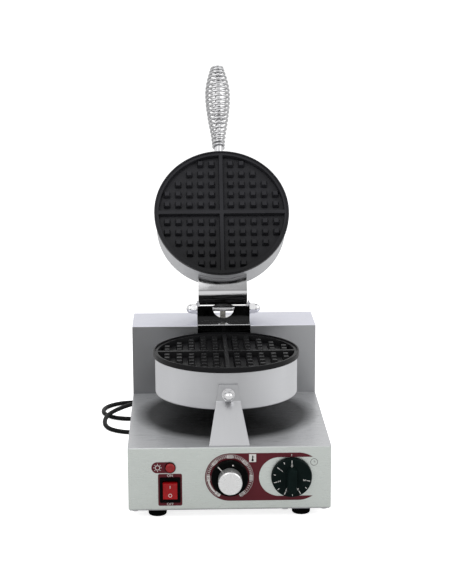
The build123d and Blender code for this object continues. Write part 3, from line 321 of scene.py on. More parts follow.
def panel_steel():
    """The satin front, and the deck with a painted shadow and reflection of the drum's underside in its dark
    place under the pan.
    """
    palette = colours()
    panel = Finish("satin_panel_steel", palette.panel, 0.42, metallic=0.75)
    lines = panel.grain((60, 2200, 2200), detail=4.0)
    up = panel.spread(panel.facing(2), 0.0, 1.0, 0.4, 0.8)
    # Painted shade: under the pan the deck is painted at a tenth of its colour as the drum's shadow and
    # reflection, and lighter away from it.
    deck = panel.mix(panel.pan_shade_mask(0.100, 0.122), solid(palette.deck, 0.10), solid(palette.deck, 1.32))
    cloudy = panel.shade(panel.grain((14, 14, 20)), 0.94, 1.05)
    panel.paint(panel.mix(up, cloudy, deck))
    panel.put(panel.shader.inputs["Metallic"], panel.spread(up, 0.75, 0.35, 0.0, 1.0))
    panel.gloss(panel.spread(lines, 0.25, 0.38))
    panel.dents(lines, 0.00002, 0.3)
    return panel


def column_steel():
    """The column: a face in painted shade that is painted lighter to the right, and a top painted bright
    where it faces up.
    """
    palette = colours()
    column = Finish("column_steel", palette.column, 0.36, metallic=0.9)
    lines = column.grain((50, 50, 2400), detail=4.0)
    up = column.spread(column.facing(2), 0.0, 1.0, 0.4, 0.8)
    # Painted light: the face runs from dark at the left to light at the right.
    face = column.mix(column.along(0, -HALF_WIDTH, HALF_WIDTH), column.tint(0.85), column.tint(1.6))
    # Painted light: the upward top takes a brighter steel, as if lit from above.
    bright = (palette.drum[0], palette.drum[1], palette.drum[2] * 1.08, 1)
    column.paint(column.mix(up, face, bright))
    column.gloss(column.spread(lines, 0.30, 0.44))
    column.dents(lines, 0.00002, 0.3)
    return column


def drum_steel():
    """The lower drum, painted lighter at its sides and darker at its front, with painted shade underneath."""
    palette = colours()
    drum = brushed("lower_drum_steel", palette.drum, 0.40, (18, 18, 2600))
    # Painted shade: the underside is painted at a sixth of the steel's colour.
    under = drum.spread(drum.facing(2), 1.0, 0.0, -0.9, -0.5)
    # Painted light: the wall is darker where it faces the front and lighter where it faces a side.
    painted_light_wall = drum.shade(drum.sideways(), 0.80, 1.16)
    drum.paint(drum.mix(under, painted_light_wall, drum.tint(0.16)))
    return drum


def polished_steel():
    """The hinge's rod and nuts, and the other bright fixings."""
    palette = colours()
    mirror = Finish("polished_steel", palette.polished, 0.07, metallic=1.0)
    smear = mirror.grain((70, 70, 70), detail=5.0)
    mirror.gloss(mirror.spread(smear, 0.045, 0.14))
    mirror.paint(mirror.shade(mirror.grain((25, 25, 25)), 0.94, 1.03))
    mirror.dents(mirror.grain((260, 260, 260)), 0.00001, 0.25)
    return mirror


def hinge_plate():
    """The hinge's plates, with painted reflections: painted black to the front where they mirror the dark
    plate, with a painted highlight on the lip above the rod.
    """
    palette = colours()
    hinge = Finish("polished_plate", palette.polished, 0.10, metallic=1.0)
    hinge.gloss(hinge.spread(hinge.grain((60, 60, 60), detail=5.0), 0.07, 0.20))
    # Painted reflection: faces turned to the front take the painted tones below instead of the steel's
    # colour.
    painted_reflection_front = hinge.spread(hinge.facing(1), 1.0, 0.0, -0.98, -0.55)
    bright = hinge.shade(hinge.grain((25, 25, 25)), 0.80, 0.95)
    lip_foot, lip_top, fade = HINGE.z + 0.0150, HINGE.z + 0.0205, 0.001
    # Painted reflection and highlight: black below the lip, a light band on the lip for its bends' highlight,
    # and mid grey above.
    lip = hinge.mix(hinge.along(2, lip_foot, lip_foot + fade), hinge.tint(0.04), hinge.tint(0.85))
    web = hinge.mix(hinge.along(2, lip_top, lip_top + fade), lip, hinge.tint(0.30))
    hinge.paint(hinge.mix(painted_reflection_front, bright, web))
    hinge.dents(hinge.grain((30, 1200, 1200)), 0.000006, 0.25)
    return hinge


def drawn_wire():
    """The handle's wire."""
    palette = colours()
    wire = Finish("drawn_wire", dimmed(palette.polished, 0.80), 0.18, metallic=1.0)
    wire.gloss(wire.spread(wire.grain((220, 220, 220), detail=5.0), 0.10, 0.24))
    wire.paint(wire.shade(wire.grain((60, 60, 60)), 0.86, 1.04))
    wire.dents(wire.grain((900, 900, 900)), 0.00002, 0.3)
    return wire


def spun_cap():
    """The heat dial's metal cap, with painted highlight streaks from its middle and turned rings."""
    spun = Finish("spun_cap", (0.90, 0.91, 0.91), 0.25, metallic=0.85)
    streak_count, rings_per_metre = 26.0, 9000.0
    upright = Matrix.Rotation(pi / 2, 3, "X")
    place = spun.add(
        "ShaderNodeMapping",
        {
            "Vector": spun.coordinates.outputs["Object"],
            "Rotation": (pi / 2, 0, 0),
            "Location": -(upright @ Vector((DIAL.x, 0, DIAL.z))),
        },
    )
    # Painted highlight: streaks round the middle darken and lighten the colour, standing in for the radial
    # sheen of spun metal.
    round_about = spun.add("ShaderNodeTexGradient", {"Vector": place.outputs[0]}, gradient_type="RADIAL")
    many = spun.add("ShaderNodeMath", {0: round_about.outputs[1], 1: streak_count}, operation="MULTIPLY")
    streaks = spun.add("ShaderNodeTexNoise", {"W": many.outputs[0], "Detail": 4.0}, noise_dimensions="1D")
    spun.paint(spun.shade(spun.spread(streaks.outputs[0], 0.0, 1.0), 0.50, 1.15))
    rings = spun.add("ShaderNodeVectorMath", {0: place.outputs[0]}, operation="LENGTH")
    fine = spun.add("ShaderNodeMath", {0: rings.outputs[1], 1: rings_per_metre}, operation="MULTIPLY")
    turned_lines = spun.add("ShaderNodeMath", {0: fine.outputs[0]}, operation="SINE")
    spun.gloss(spun.spread(turned_lines.outputs[0], 0.24, 0.36, -1.0, 1.0))
    spun.dents(turned_lines.outputs[0], 0.00001, 0.3)
    return spun


def non_stick():
    """The plates' coating, with painted light on the raised lid and painted shade on the lower plate."""
    palette = colours()
    coating = Finish("non_stick_coating", palette.coating, 0.42, Specular_IOR_Level=0.14)
    speck = coating.grain((950, 950, 950), detail=2.0)
    worn = coating.grain((34, 34, 34), detail=4.0)
    # Painted light: high on the raised lid the coating is painted about three times lighter; lower down it is
    # painted darker.
    raised = coating.along(2, HINGE.z + 0.04, HINGE.z + 0.12)
    painted_lit_lid_coat = coating.shade(worn, 0.75, 1.4, dimmed(palette.coating, 3.2))
    coating.paint(coating.mix(raised, coating.shade(worn, 0.4, 0.9), painted_lit_lid_coat))
    coating.gloss(coating.spread(worn, 0.34, 0.50))
    coating.dents(speck, 0.00012, 0.32)
    return coating


def black_rubber():
    """The feet, the gland and the band round the coiled lead."""
    palette = colours()
    rubber = Finish("black_rubber", dimmed(palette.black, 0.5), 0.62, Specular_IOR_Level=0.02)
    rubber.gloss(rubber.spread(rubber.grain((120, 120, 120)), 0.52, 0.72))
    rubber.paint(rubber.shade(rubber.grain((40, 40, 40)), 0.8, 1.5))
    rubber.dents(rubber.grain((1400, 1400, 1400), detail=2.0), 0.00008, 0.35)
    return rubber


def lead_sheath():
    """The mains lead."""
    palette = colours()
    lead = Finish("lead_sheath", dimmed(palette.black, 0.7), 0.46, Specular_IOR_Level=0.10)
    lead.gloss(lead.spread(lead.grain((180, 180, 180)), 0.38, 0.55))
    lead.paint(lead.shade(lead.grain((30, 30, 30)), 0.8, 1.5))
    lead.dents(lead.grain((700, 700, 700), detail=3.0), 0.00006, 0.25)
    return lead


def black_moulding():
    """The heat dial's skirt, the switch, the lamp's holder and the plug."""
    palette = colours()
    moulded = Finish("black_moulding", dimmed(palette.black, 0.5), 0.24, Specular_IOR_Level=0.02)
    moulded.gloss(moulded.spread(moulded.grain((260, 260, 260), detail=4.0), 0.18, 0.34))
    moulded.paint(moulded.shade(moulded.grain((50, 50, 50)), 0.8, 1.6))
    moulded.dents(moulded.grain((1100, 1100, 1100), detail=2.0), 0.00003, 0.3)
    return moulded


def timer_moulding():
    """The timer's knob, black with some green in it."""
    palette = colours()
    greenish = (palette.black[0], palette.black[1] * 1.7, palette.black[2] * 1.6)
    timer = Finish("timer_moulding", greenish, 0.38, Specular_IOR_Level=0.02)
    timer.gloss(timer.spread(timer.grain((300, 300, 300), detail=4.0), 0.30, 0.48))
    timer.paint(timer.shade(timer.grain((60, 60, 60)), 0.7, 1.7))
    timer.dents(timer.grain((900, 900, 900), detail=2.0), 0.00005, 0.35)
    return timer


def label_film():
    """The dark red labels."""
    palette = colours()
    film = Finish("label_film", palette.label, 0.38, Specular_IOR_Level=0.15)
    film.gloss(film.spread(film.grain((400, 400, 400), detail=4.0), 0.32, 0.46))
    film.paint(film.shade(film.grain((45, 45, 45)), 0.92, 1.12))
    film.dents(film.grain((1600, 1600, 1600), detail=2.0), 0.00002, 0.3)
    return film


def white_print():
    """The light marks on labels, dials and the rocker."""
    palette = colours()
    marks = Finish("white_print", palette.marks, 0.50)
    marks.paint(marks.shade(marks.grain((900, 900, 900), detail=4.0), 0.88, 1.06))
    marks.gloss(marks.spread(marks.grain((600, 600, 600)), 0.42, 0.60))
    return marks


def grey_print():
    """The sign beside the timer."""
    grey = Finish("grey_print", (0.09, 0.09, 0.09), 0.50)
    grey.paint(grey.shade(grey.grain((900, 900, 900), detail=4.0), 0.85, 1.1))
    return grey


def clear_red():
    """The rocker."""
    palette = colours()
    red = Finish("clear_red", palette.red, 0.16, Specular_IOR_Level=0.25)
    red.paint(red.shade(red.grain((160, 160, 160)), 0.8, 1.25))
    red.gloss(red.spread(red.grain((300, 300, 300), detail=4.0), 0.12, 0.24))
    red.dents(red.grain((600, 600, 600), detail=2.0), 0.00002, 0.3)
    return red


def lamp_red():
    """The lamp's lens, with small cells."""
    palette = colours()
    lens = Finish("lamp_red", dimmed(palette.red, 0.8), 0.14, Specular_IOR_Level=0.4)
    place = lens.coordinates.outputs["Object"]
    cells = lens.add("ShaderNodeTexVoronoi", {"Vector": place, "Scale": 900.0})
    lens.paint(lens.shade(cells.outputs[0], 1.5, 0.6))
    lens.dents(cells.outputs[0], 0.0002, 0.5)
    return lens


def device_casing():
    """The heat control, the timer's works and the terminal block."""
    casing = Finish("device_casing", (0.05, 0.05, 0.055), 0.5)
    casing.paint(casing.shade(casing.grain((80, 80, 80)), 0.8, 1.3))
    casing.dents(casing.grain((900, 900, 900)), 0.00005, 0.3)
    return casing


def mineral_wool():
    """The insulation in both drums."""
    wool = Finish("mineral_wool", (0.62, 0.58, 0.46), 0.95)
    wool.paint(wool.shade(wool.grain((500, 500, 120), detail=6.0), 0.6, 1.2))
    wool.dents(wool.grain((400, 400, 90), detail=6.0), 0.0006, 0.6)
    return wool


def woven_sleeve():
    """The sleeve on the heaters' leads."""
    sleeve = Finish("woven_sleeve", (0.40, 0.385, 0.34), 0.85)
    place = sleeve.coordinates.outputs["Object"]
    weave = sleeve.add("ShaderNodeTexChecker", {"Vector": place, "Scale": 1400.0})
    sleeve.paint(sleeve.mix(weave.outputs[1], (0.30, 0.29, 0.26, 1), (0.46, 0.44, 0.40, 1)))
    sleeve.dents(weave.outputs[1], 0.0002, 0.5)
    return sleeve


def plain_steels():
    """The steels that need only grinding lines, by name."""
    palette = colours()
    return {
        "rear": brushed("rear_panel_steel", dimmed(palette.deck, 1.2), 0.42, (40, 40, 2000)),
        "lid_drum": brushed("lid_drum_steel", palette.drum, 0.40, (18, 18, 2600), turn=(-OPEN_TURN, 0, 0)),
        "bracket": brushed("bracket_steel", dimmed(palette.drum, 0.76), 0.36, (1500, 30, 30), depth=0.000006),
        "zinc": brushed("zinc_screw", dimmed(palette.polished, 0.85), 0.34, (700, 700, 700)),
        "shaft": brushed("turned_shaft", palette.polished, 0.28, (500, 2500, 500)),
        "heater": brushed("heat_dulled_steel", (0.16, 0.14, 0.12), 0.55, (300, 300, 300)),
    }


FINISH_MAKERS = {
    "panel": panel_steel,
    "column": column_steel,
    "drum": drum_steel,
    "mirror": polished_steel,
    "hinge": hinge_plate,
    "wire": drawn_wire,
    "spun": spun_cap,
    "coating": non_stick,
    "rubber": black_rubber,
    "lead": lead_sheath,
    "moulded": black_moulding,
    "timer": timer_moulding,
    "film": label_film,
    "marks": white_print,
    "grey": grey_print,
    "red": clear_red,
    "lens": lamp_red,
    "casing": device_casing,
    "wool": mineral_wool,
    "sleeve": woven_sleeve,
}


def make_finishes():
    """Every material by its short name."""
    made = {name: make() for name, make in FINISH_MAKERS.items()}
    made.update(plain_steels())
    return {name: finish.material for name, finish in made.items()}


FINISHES = {}
NODE_FINISHES = {
    "panel": ["base_housing"],
    "column": ["column_cover"],
    "rear": ["rear_panel", "bottom_plate"],
    "zinc": ["rear_screws", "base_screws", "bracket_screws", "pan_bolts", "pan_spacers", "handle_nut"],
    "rubber": ["rubber_feet", "cord_gland", "lead_grommet"],
    "film": ["control_label", "lamp_label", "switch_label"],
    "moulded": ["lamp_body", "switch_body", "thermostat_knob", "power_plug"],
    "lens": ["lamp_lens"],
    "red": ["switch_rocker"],
    "casing": ["thermostat_body", "timer_body", "terminal_block"],
    "shaft": ["thermostat_shaft", "timer_shaft"],
    "spun": ["thermostat_cap"],
    "timer": ["timer_knob"],
    "coating": ["lower_plate", "upper_plate"],
    "drum": ["lower_drum"],
    "lid_drum": ["upper_drum"],
    "heater": [
        "lower_element",
        "upper_element",
        "lower_clamp",
        "upper_clamp",
        "lower_nuts",
        "upper_nuts",
    ],
    "wool": ["lower_insulation", "upper_insulation"],
    "bracket": ["front_bracket"],
    "hinge": ["hinge_bracket", "lid_bracket"],
    "mirror": [
        "bracket_stud",
        "bracket_washer",
        "bracket_nut",
        "hinge_rod",
        "hinge_washers",
        "hinge_nuts",
        "handle_rod",
        "handle_collar",
        "handle_tip",
    ],
    "wire": ["handle_coil"],
    "sleeve": ["hinge_lead", "lid_lead", "lower_lead"],
    "lead": ["power_cord", "cord_coil"],
}
EASED_EDGES = {
    "lower_plate": 0.0005,
    "upper_plate": 0.0005,
    "switch_rocker": 0.0004,
    "front_bracket": 0.0004,
    "hinge_bracket": 0.0003,
    "lid_bracket": 0.0003,
}


def soften(node, width):
    """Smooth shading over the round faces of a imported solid, sharp at its edges, with small edges eased."""
    mesh = node.data
    for name in ("custom_normal", "sharp_edge", "sharp_face"):
        if name in mesh.attributes:
            mesh.attributes.remove(mesh.attributes[name])
    mesh.polygons.foreach_set("use_smooth", [True] * len(mesh.polygons))
    weld = node.modifiers.new("Weld", "WELD")
    weld.merge_threshold = 0.000002
    if width:
        bevel = node.modifiers.new("Eased edges", "BEVEL")
        bevel.width = width
        bevel.segments = 2
        bevel.angle_limit = radians(35)
    split = node.modifiers.new("Sharp edges", "EDGE_SPLIT")
    split.split_angle = radians(32)
    node.modifiers.new("Flat faces", "WEIGHTED_NORMAL")


# Modelling helpers


def on_panel(x, z, out=0.0):
    """A place on the control panel, with its own right, up and outward ways."""
    return Matrix(((1, 0, 0, x), (0, 0, -1, PANEL_Y - out), (0, 1, 0, z), (0, 0, 0, 1)))


def turned(angle):
    """A turn clockwise on the panel, as the user sees it."""
    return Matrix.Rotation(-angle, 4, "Z")


def outwards(middle, bearing, radius):
    """A place on a dial, at a bearing clockwise from the top."""
    return middle @ turned(bearing) @ Matrix.Translation((0, radius, 0))


def bar(bm, width, height, place):
    """A flat rectangle round the middle of its place."""
    size = Matrix.Diagonal((width, height, 1, 1))
    bmesh.ops.create_grid(bm, x_segments=1, y_segments=1, size=0.5, matrix=place @ size)


def arc(bm, inner, outer, start, turn, place, steps=48):
    """A flat band between two radii, from one bearing round to another, clockwise from the top."""
    ends = [bm.verts.new((0, inner, 0)), bm.verts.new((0, outer, 0))]
    edge = bm.edges.new(ends)
    before = set(bm.verts) - set(ends)
    whole = abs(turn) > 2 * pi - 0.01
    bmesh.ops.spin(
        bm, geom=ends + [edge], cent=(0, 0, 0), axis=(0, 0, -1), angle=turn, steps=steps, use_merge=whole
    )
    made = [v for v in bm.verts if v not in before]
    bmesh.ops.transform(bm, matrix=place @ turned(start), verts=made)


def disc(bm, radius, place):
    """A flat disc."""
    bmesh.ops.create_circle(bm, cap_ends=True, segments=20, radius=radius, matrix=place)


def words(bm, text, height, place):
    """Flat figures or letters, centred on their place."""
    curve = bpy.data.curves.new("figures", "FONT")
    curve.body = text
    curve.size = height
    curve.align_x = "CENTER"
    curve.align_y = "CENTER"
    holder = bpy.data.objects.new("figures", curve)
    bpy.context.scene.collection.objects.link(holder)
    seen = holder.evaluated_get(bpy.context.evaluated_depsgraph_get())
    mesh = bpy.data.meshes.new_from_object(seen)
    mesh.transform(place)
    bm.from_mesh(mesh)
    bpy.data.objects.remove(holder)
    bpy.data.meshes.remove(mesh)


def thicken(bm, depth):
    """Flat marks become thin slabs that stand out towards the user."""
    bmesh.ops.remove_doubles(bm, verts=bm.verts, dist=0.000001)
    raised = bmesh.ops.extrude_face_region(bm, geom=bm.faces[:], use_keep_orig=True)
    top = [v for v in raised["geom"] if isinstance(v, bmesh.types.BMVert)]
    bmesh.ops.translate(bm, verts=top, vec=(0, -depth, 0))


def piece(name, bm, finish, body):
    """Turns a finished bmesh into a flat-shaded piece that rides on a body."""
    bmesh.ops.recalc_face_normals(bm, faces=bm.faces)
    mesh = bpy.data.meshes.new(name)
    bm.to_mesh(mesh)
    bm.free()
    mesh.polygons.foreach_set("use_smooth", [False] * len(mesh.polygons))
    made = bpy.data.objects.new(name, mesh)
    bpy.context.scene.collection.objects.link(made)
    mesh.materials.append(FINISHES[finish])
    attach(made, body)
    return made


def printed(name, draw, finish, body):
    """A print: draws flat marks and gives them the depth of ink."""
    bm = bmesh.new()
    draw(bm)
    thicken(bm, sizes().print_depth)
    return piece(name, bm, finish, body)


def tube(name, points, radius, finish):
    """A round tube along points, as a mesh."""
    curve = bpy.data.curves.new(name, "CURVE")
    curve.dimensions = "3D"
    curve.bevel_depth = radius
    curve.bevel_resolution = 4
    curve.resolution_u = 4
    curve.use_fill_caps = True
    lay_spline(curve, points)
    holder = bpy.data.objects.new(name, curve)
    bpy.context.scene.collection.objects.link(holder)
    seen = holder.evaluated_get(bpy.context.evaluated_depsgraph_get())
    mesh = bpy.data.meshes.new_from_object(seen)
    bpy.data.objects.remove(holder)
    mesh.polygons.foreach_set("use_smooth", [True] * len(mesh.polygons))
    mesh.materials.clear()
    mesh.materials.append(FINISHES[finish])
    made = bpy.data.objects.new(name, mesh)
    bpy.context.scene.collection.objects.link(made)
    return made


def lay_spline(curve, points):
    """A smooth line with these points as its control points."""
    spline = curve.splines.new("NURBS")
    spline.points.add(len(points) - 1)
    for point, place in zip(spline.points, points):
        point.co = (*place, 1)
    spline.order_u = 3
    spline.use_endpoint_u = True


CAMERA_AZIMUTH, CAMERA_ELEVATION, CAMERA_ROLL = radians(-1.56), radians(12.27), radians(-0.24)
CAMERA_PLACE = (-0.05282, -1.80422 + PANEL_Y, 0.67939)
CAMERA_LENS, CAMERA_SENSOR = 95.16, 36.0


class WAFFLE_OT_camera(bpy.types.Operator):
    """Places the camera where the photograph was taken"""

    bl_idname = "waffle.camera"
    bl_label = "Camera"

    def execute(self, context):
        azimuth, elevation, roll = CAMERA_AZIMUTH, CAMERA_ELEVATION, CAMERA_ROLL
        back = Vector((sin(azimuth) * cos(elevation), -cos(azimuth) * cos(elevation), sin(elevation)))
        right = Vector((cos(azimuth), sin(azimuth), 0))
        up = back.cross(right)
        level_right = right * cos(roll) + up * sin(roll)
        level_up = up * cos(roll) - right * sin(roll)
        data = bpy.data.cameras.new("photo_camera")
        data.sensor_width = CAMERA_SENSOR
        data.lens = CAMERA_LENS
        data.clip_end = 200.0
        camera = bpy.data.objects.new("photo_camera", data)
        context.scene.collection.objects.link(camera)
        turn = Matrix((level_right, level_up, back)).transposed().to_4x4()
        camera.matrix_world = Matrix.Translation(CAMERA_PLACE) @ turn
        context.scene.camera = camera
        return {"FINISHED"}


# The mains lead's way from the gland. Its middle lies at one height on the table and at another
# where it crosses itself.
GLAND = Vector((-0.090, REAR_Y, 0))
GLAND_HEIGHT = 0.037
CORD_LIE = 0.0033
CORD_OVER = 0.0135
LEAD_ROUTE = [
    (0.0, 0.024, GLAND_HEIGHT),
    (0.0, 0.046, GLAND_HEIGHT),
    (0.0, 0.072, 0.028),
    (0.001, 0.100, 0.015),
    (0.001, 0.128, 0.006),
    (-0.0016, 0.156, CORD_LIE),
    (-0.027, 0.1814, CORD_LIE),
    (-0.063, 0.1814, CORD_LIE),
    (-0.0884, 0.156, CORD_LIE),
    (-0.0884, 0.120, CORD_LIE),
    (-0.063, 0.0946, CORD_LIE),
    (-0.027, 0.0946, CORD_LIE),
    (0.006, 0.088, CORD_LIE),
    (0.040, 0.096, CORD_LIE),
    (0.062, 0.122, CORD_LIE),
    (0.060, 0.156, 0.007),
    (0.034, 0.178, 0.0115),
    (0.0, 0.174, CORD_OVER),
    (-0.032, 0.150, CORD_OVER),
    (-0.060, 0.122, CORD_OVER),
    (-0.0834, 0.090, 0.010),
    (-0.0834, 0.054, CORD_LIE),
    (-0.058, 0.0286, CORD_LIE),
    (-0.022, 0.026, CORD_LIE),
    (0.014, 0.029, CORD_LIE),
    (0.052, 0.032, CORD_LIE),
]
COIL_CENTRE = Vector((0.008, REAR_Y + 0.032 + 0.045, CORD_LIE))
COIL_OUTER = 0.045
COIL_STEP = 0.0082
COIL_TURNS_IN = 1.75
COIL_CLIMB_TURNS = 0.5
COIL_RISE = 0.007
COIL_TAIL = 0.042
POINTS_A_TURN = 16
TIE_HALF_WIDTH, TIE_HALF_HEIGHT, TIE_LENGTH, TIE_THICKNESS = 0.0122, 0.0069, 0.005, 0.0003
TIE_CORNER = 0.7


def coil_point(turn):
    """A point of the put-away turns: inwards on the table, up a layer, and outwards again."""
    climbed = min(max((turn - COIL_TURNS_IN) / COIL_CLIMB_TURNS, 0.0), 1.0)
    way_in = min(turn, COIL_TURNS_IN)
    way_out = max(turn - COIL_TURNS_IN - COIL_CLIMB_TURNS, 0.0)
    radius = COIL_OUTER - COIL_STEP * (way_in - way_out)
    bearing = 2 * pi * turn - pi / 2
    rise = COIL_RISE * climbed * climbed * (3 - 2 * climbed)
    return COIL_CENTRE + Vector((radius * cos(bearing), radius * sin(bearing), rise))


class WAFFLE_OT_mains_lead(bpy.types.Operator):
    """Lays the mains lead from its gland, in loops behind the stand, to its plug"""

    bl_idname = "waffle.mains_lead"
    bl_label = "Mains lead"

    def execute(self, context):
        curve = bpy.data.curves.new("mains_lead", "CURVE")
        curve.dimensions = "3D"
        curve.bevel_depth = sizes().cord_diameter / 2
        curve.bevel_resolution = 4
        curve.resolution_u = 6
        curve.use_fill_caps = True
        points = [GLAND + Vector(place) for place in LEAD_ROUTE]
        turns = 2 * COIL_TURNS_IN + COIL_CLIMB_TURNS
        points += [coil_point(i / POINTS_A_TURN) for i in range(int(turns * POINTS_A_TURN) + 1)]
        points.append(points[-1] + Vector((COIL_TAIL, 0, 0)))
        lay_spline(curve, points)
        curve.materials.append(FINISHES["lead"])
        lead = bpy.data.objects.new("mains_lead", curve)
        context.scene.collection.objects.link(lead)
        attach(lead, "base")
        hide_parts("power_cord", "cord_coil")
        self.tie_coil()
        return {"FINISHED"}

    def tie_coil(self):
        """A flat band round the put-away turns, at their right-hand side."""
        bm = bmesh.new()
        bmesh.ops.create_circle(bm, segments=32, radius=1.0)
        for vert in bm.verts:
            bearing = Vector((vert.co.x, vert.co.y)).normalized()
            flat = max(abs(bearing.x), abs(bearing.y))
            vert.co.x = TIE_HALF_WIDTH * bearing.x / flat**TIE_CORNER
            vert.co.y = TIE_HALF_HEIGHT * bearing.y / flat**TIE_CORNER
        bmesh.ops.rotate(bm, verts=bm.verts, matrix=Matrix.Rotation(pi / 2, 3, "X"))
        wound = bmesh.ops.extrude_edge_only(bm, edges=bm.edges)
        ring = [v for v in wound["geom"] if isinstance(v, bmesh.types.BMVert)]
        bmesh.ops.translate(bm, verts=ring, vec=(0, TIE_LENGTH, 0))
        over_table = 0.00004
        foot = TIE_HALF_HEIGHT + over_table - CORD_LIE
        middle = Vector((COIL_OUTER - 0.0072, -TIE_LENGTH / 2, foot))
        bmesh.ops.translate(bm, verts=bm.verts, vec=COIL_CENTRE + middle)
        bmesh.ops.recalc_face_normals(bm, faces=bm.faces)
        bmesh.ops.solidify(bm, geom=bm.faces[:], thickness=TIE_THICKNESS)
        piece("lead_tie", bm, "rubber", "base")


class WAFFLE_OT_finishes(bpy.types.Operator):
    """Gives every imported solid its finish, smooth where it is round"""

    bl_idname = "waffle.finishes"
    bl_label = "Finishes"

    def execute(self, context):
        for finish, names in NODE_FINISHES.items():
            for name in names:
                node = NODES[name]
                node.data.materials.clear()
                node.data.materials.append(FINISHES[finish])
                if not node.hide_render:
                    soften(node, EASED_EDGES.get(name, 0.0))
        return {"FINISHED"}


COIL_START = 0.114
HANDLE_RISE = 0.028
ROOT_RADIUS, BELLY_RADIUS, TIP_RADIUS = 0.00765, 0.01675, 0.0081
END_PITCH, MID_PITCH, BLEND_TURNS = 0.0039, 0.00705, 3.0
BELLY_PLACE = 0.086
HANDLE_OFFSET = -0.002
LID_GAP = 0.0008
CHORD_SWELL = 1.019


class WAFFLE_OT_handle(bpy.types.Operator):
    """Winds the barrel-shaped handle from one wire"""

    bl_idname = "waffle.handle"
    bl_label = "Handle"

    points_a_turn = 16

    def execute(self, context):
        turns = sizes().handle_turns
        count = turns * self.points_a_turn
        rises = [0.0]
        for i in range(count):
            rises.append(rises[-1] + self.pitch((i + 0.5) / self.points_a_turn, turns) / self.points_a_turn)
        points = []
        for i, rise in enumerate(rises):
            radius = self.radius(rise, rises[-1]) * CHORD_SWELL
            bearing = 2 * pi * i / self.points_a_turn
            points.append(self.opened(radius * cos(bearing), -COIL_START - rise, radius * sin(bearing)))
        coil = tube("handle_wire", points, sizes().wire_radius, "wire")
        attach(coil, "lid")
        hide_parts("handle_coil")
        return {"FINISHED"}

    def pitch(self, turn, turns):
        """How far the wire climbs in a turn, tight at both ends."""
        near = min(max(min(turn, turns - turn) / BLEND_TURNS, 0.0), 1.0)
        return END_PITCH + (MID_PITCH - END_PITCH) * near * near * (3 - 2 * near)

    def radius(self, rise, length):
        """Radius of the barrel along the handle."""
        if rise < BELLY_PLACE:
            return ROOT_RADIUS + (BELLY_RADIUS - ROOT_RADIUS) * sin(pi / 2 * rise / BELLY_PLACE) ** 1.5
        part = min((rise - BELLY_PLACE) / (length - BELLY_PLACE), 1.0)
        return TIP_RADIUS + (BELLY_RADIUS - TIP_RADIUS) * cos(pi / 2 * part)

    def opened(self, across, reach, rise):
        """A point set out from the middle of the closed lid, swung to the lid's open rest."""
        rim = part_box("lower_plate")[1].z + LID_GAP
        closed = Vector((HANDLE_OFFSET + across, PAN_Y + reach, rim + HANDLE_RISE + rise))
        return HINGE + Matrix.Rotation(-OPEN_TURN, 3, "X") @ (closed - HINGE)


SLEEVE_RADIUS = 0.0039


class WAFFLE_OT_hinge_sleeve(bpy.types.Operator):
    """Runs the heater's sleeve over the hinge, from the column to the lid"""

    bl_idname = "waffle.hinge_sleeve"
    bl_label = "Hinge sleeve"

    def execute(self, context):
        behind_and_above = [
            (0.0208, -0.030),
            (0.0208, -0.018),
            (0.0206, -0.009),
            (0.0236, -0.001),
            (0.0300, 0.0077),
            (0.0400, 0.0222),
            (0.0460, 0.0308),
            (0.0520, 0.0394),
        ]
        points = [HINGE + Vector((0, along, up)) for along, up in behind_and_above]
        sleeve = tube("heater_sleeve", points, SLEEVE_RADIUS, "sleeve")
        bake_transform(sleeve)
        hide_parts("hinge_lead", "lid_lead")
        return {"FINISHED"}


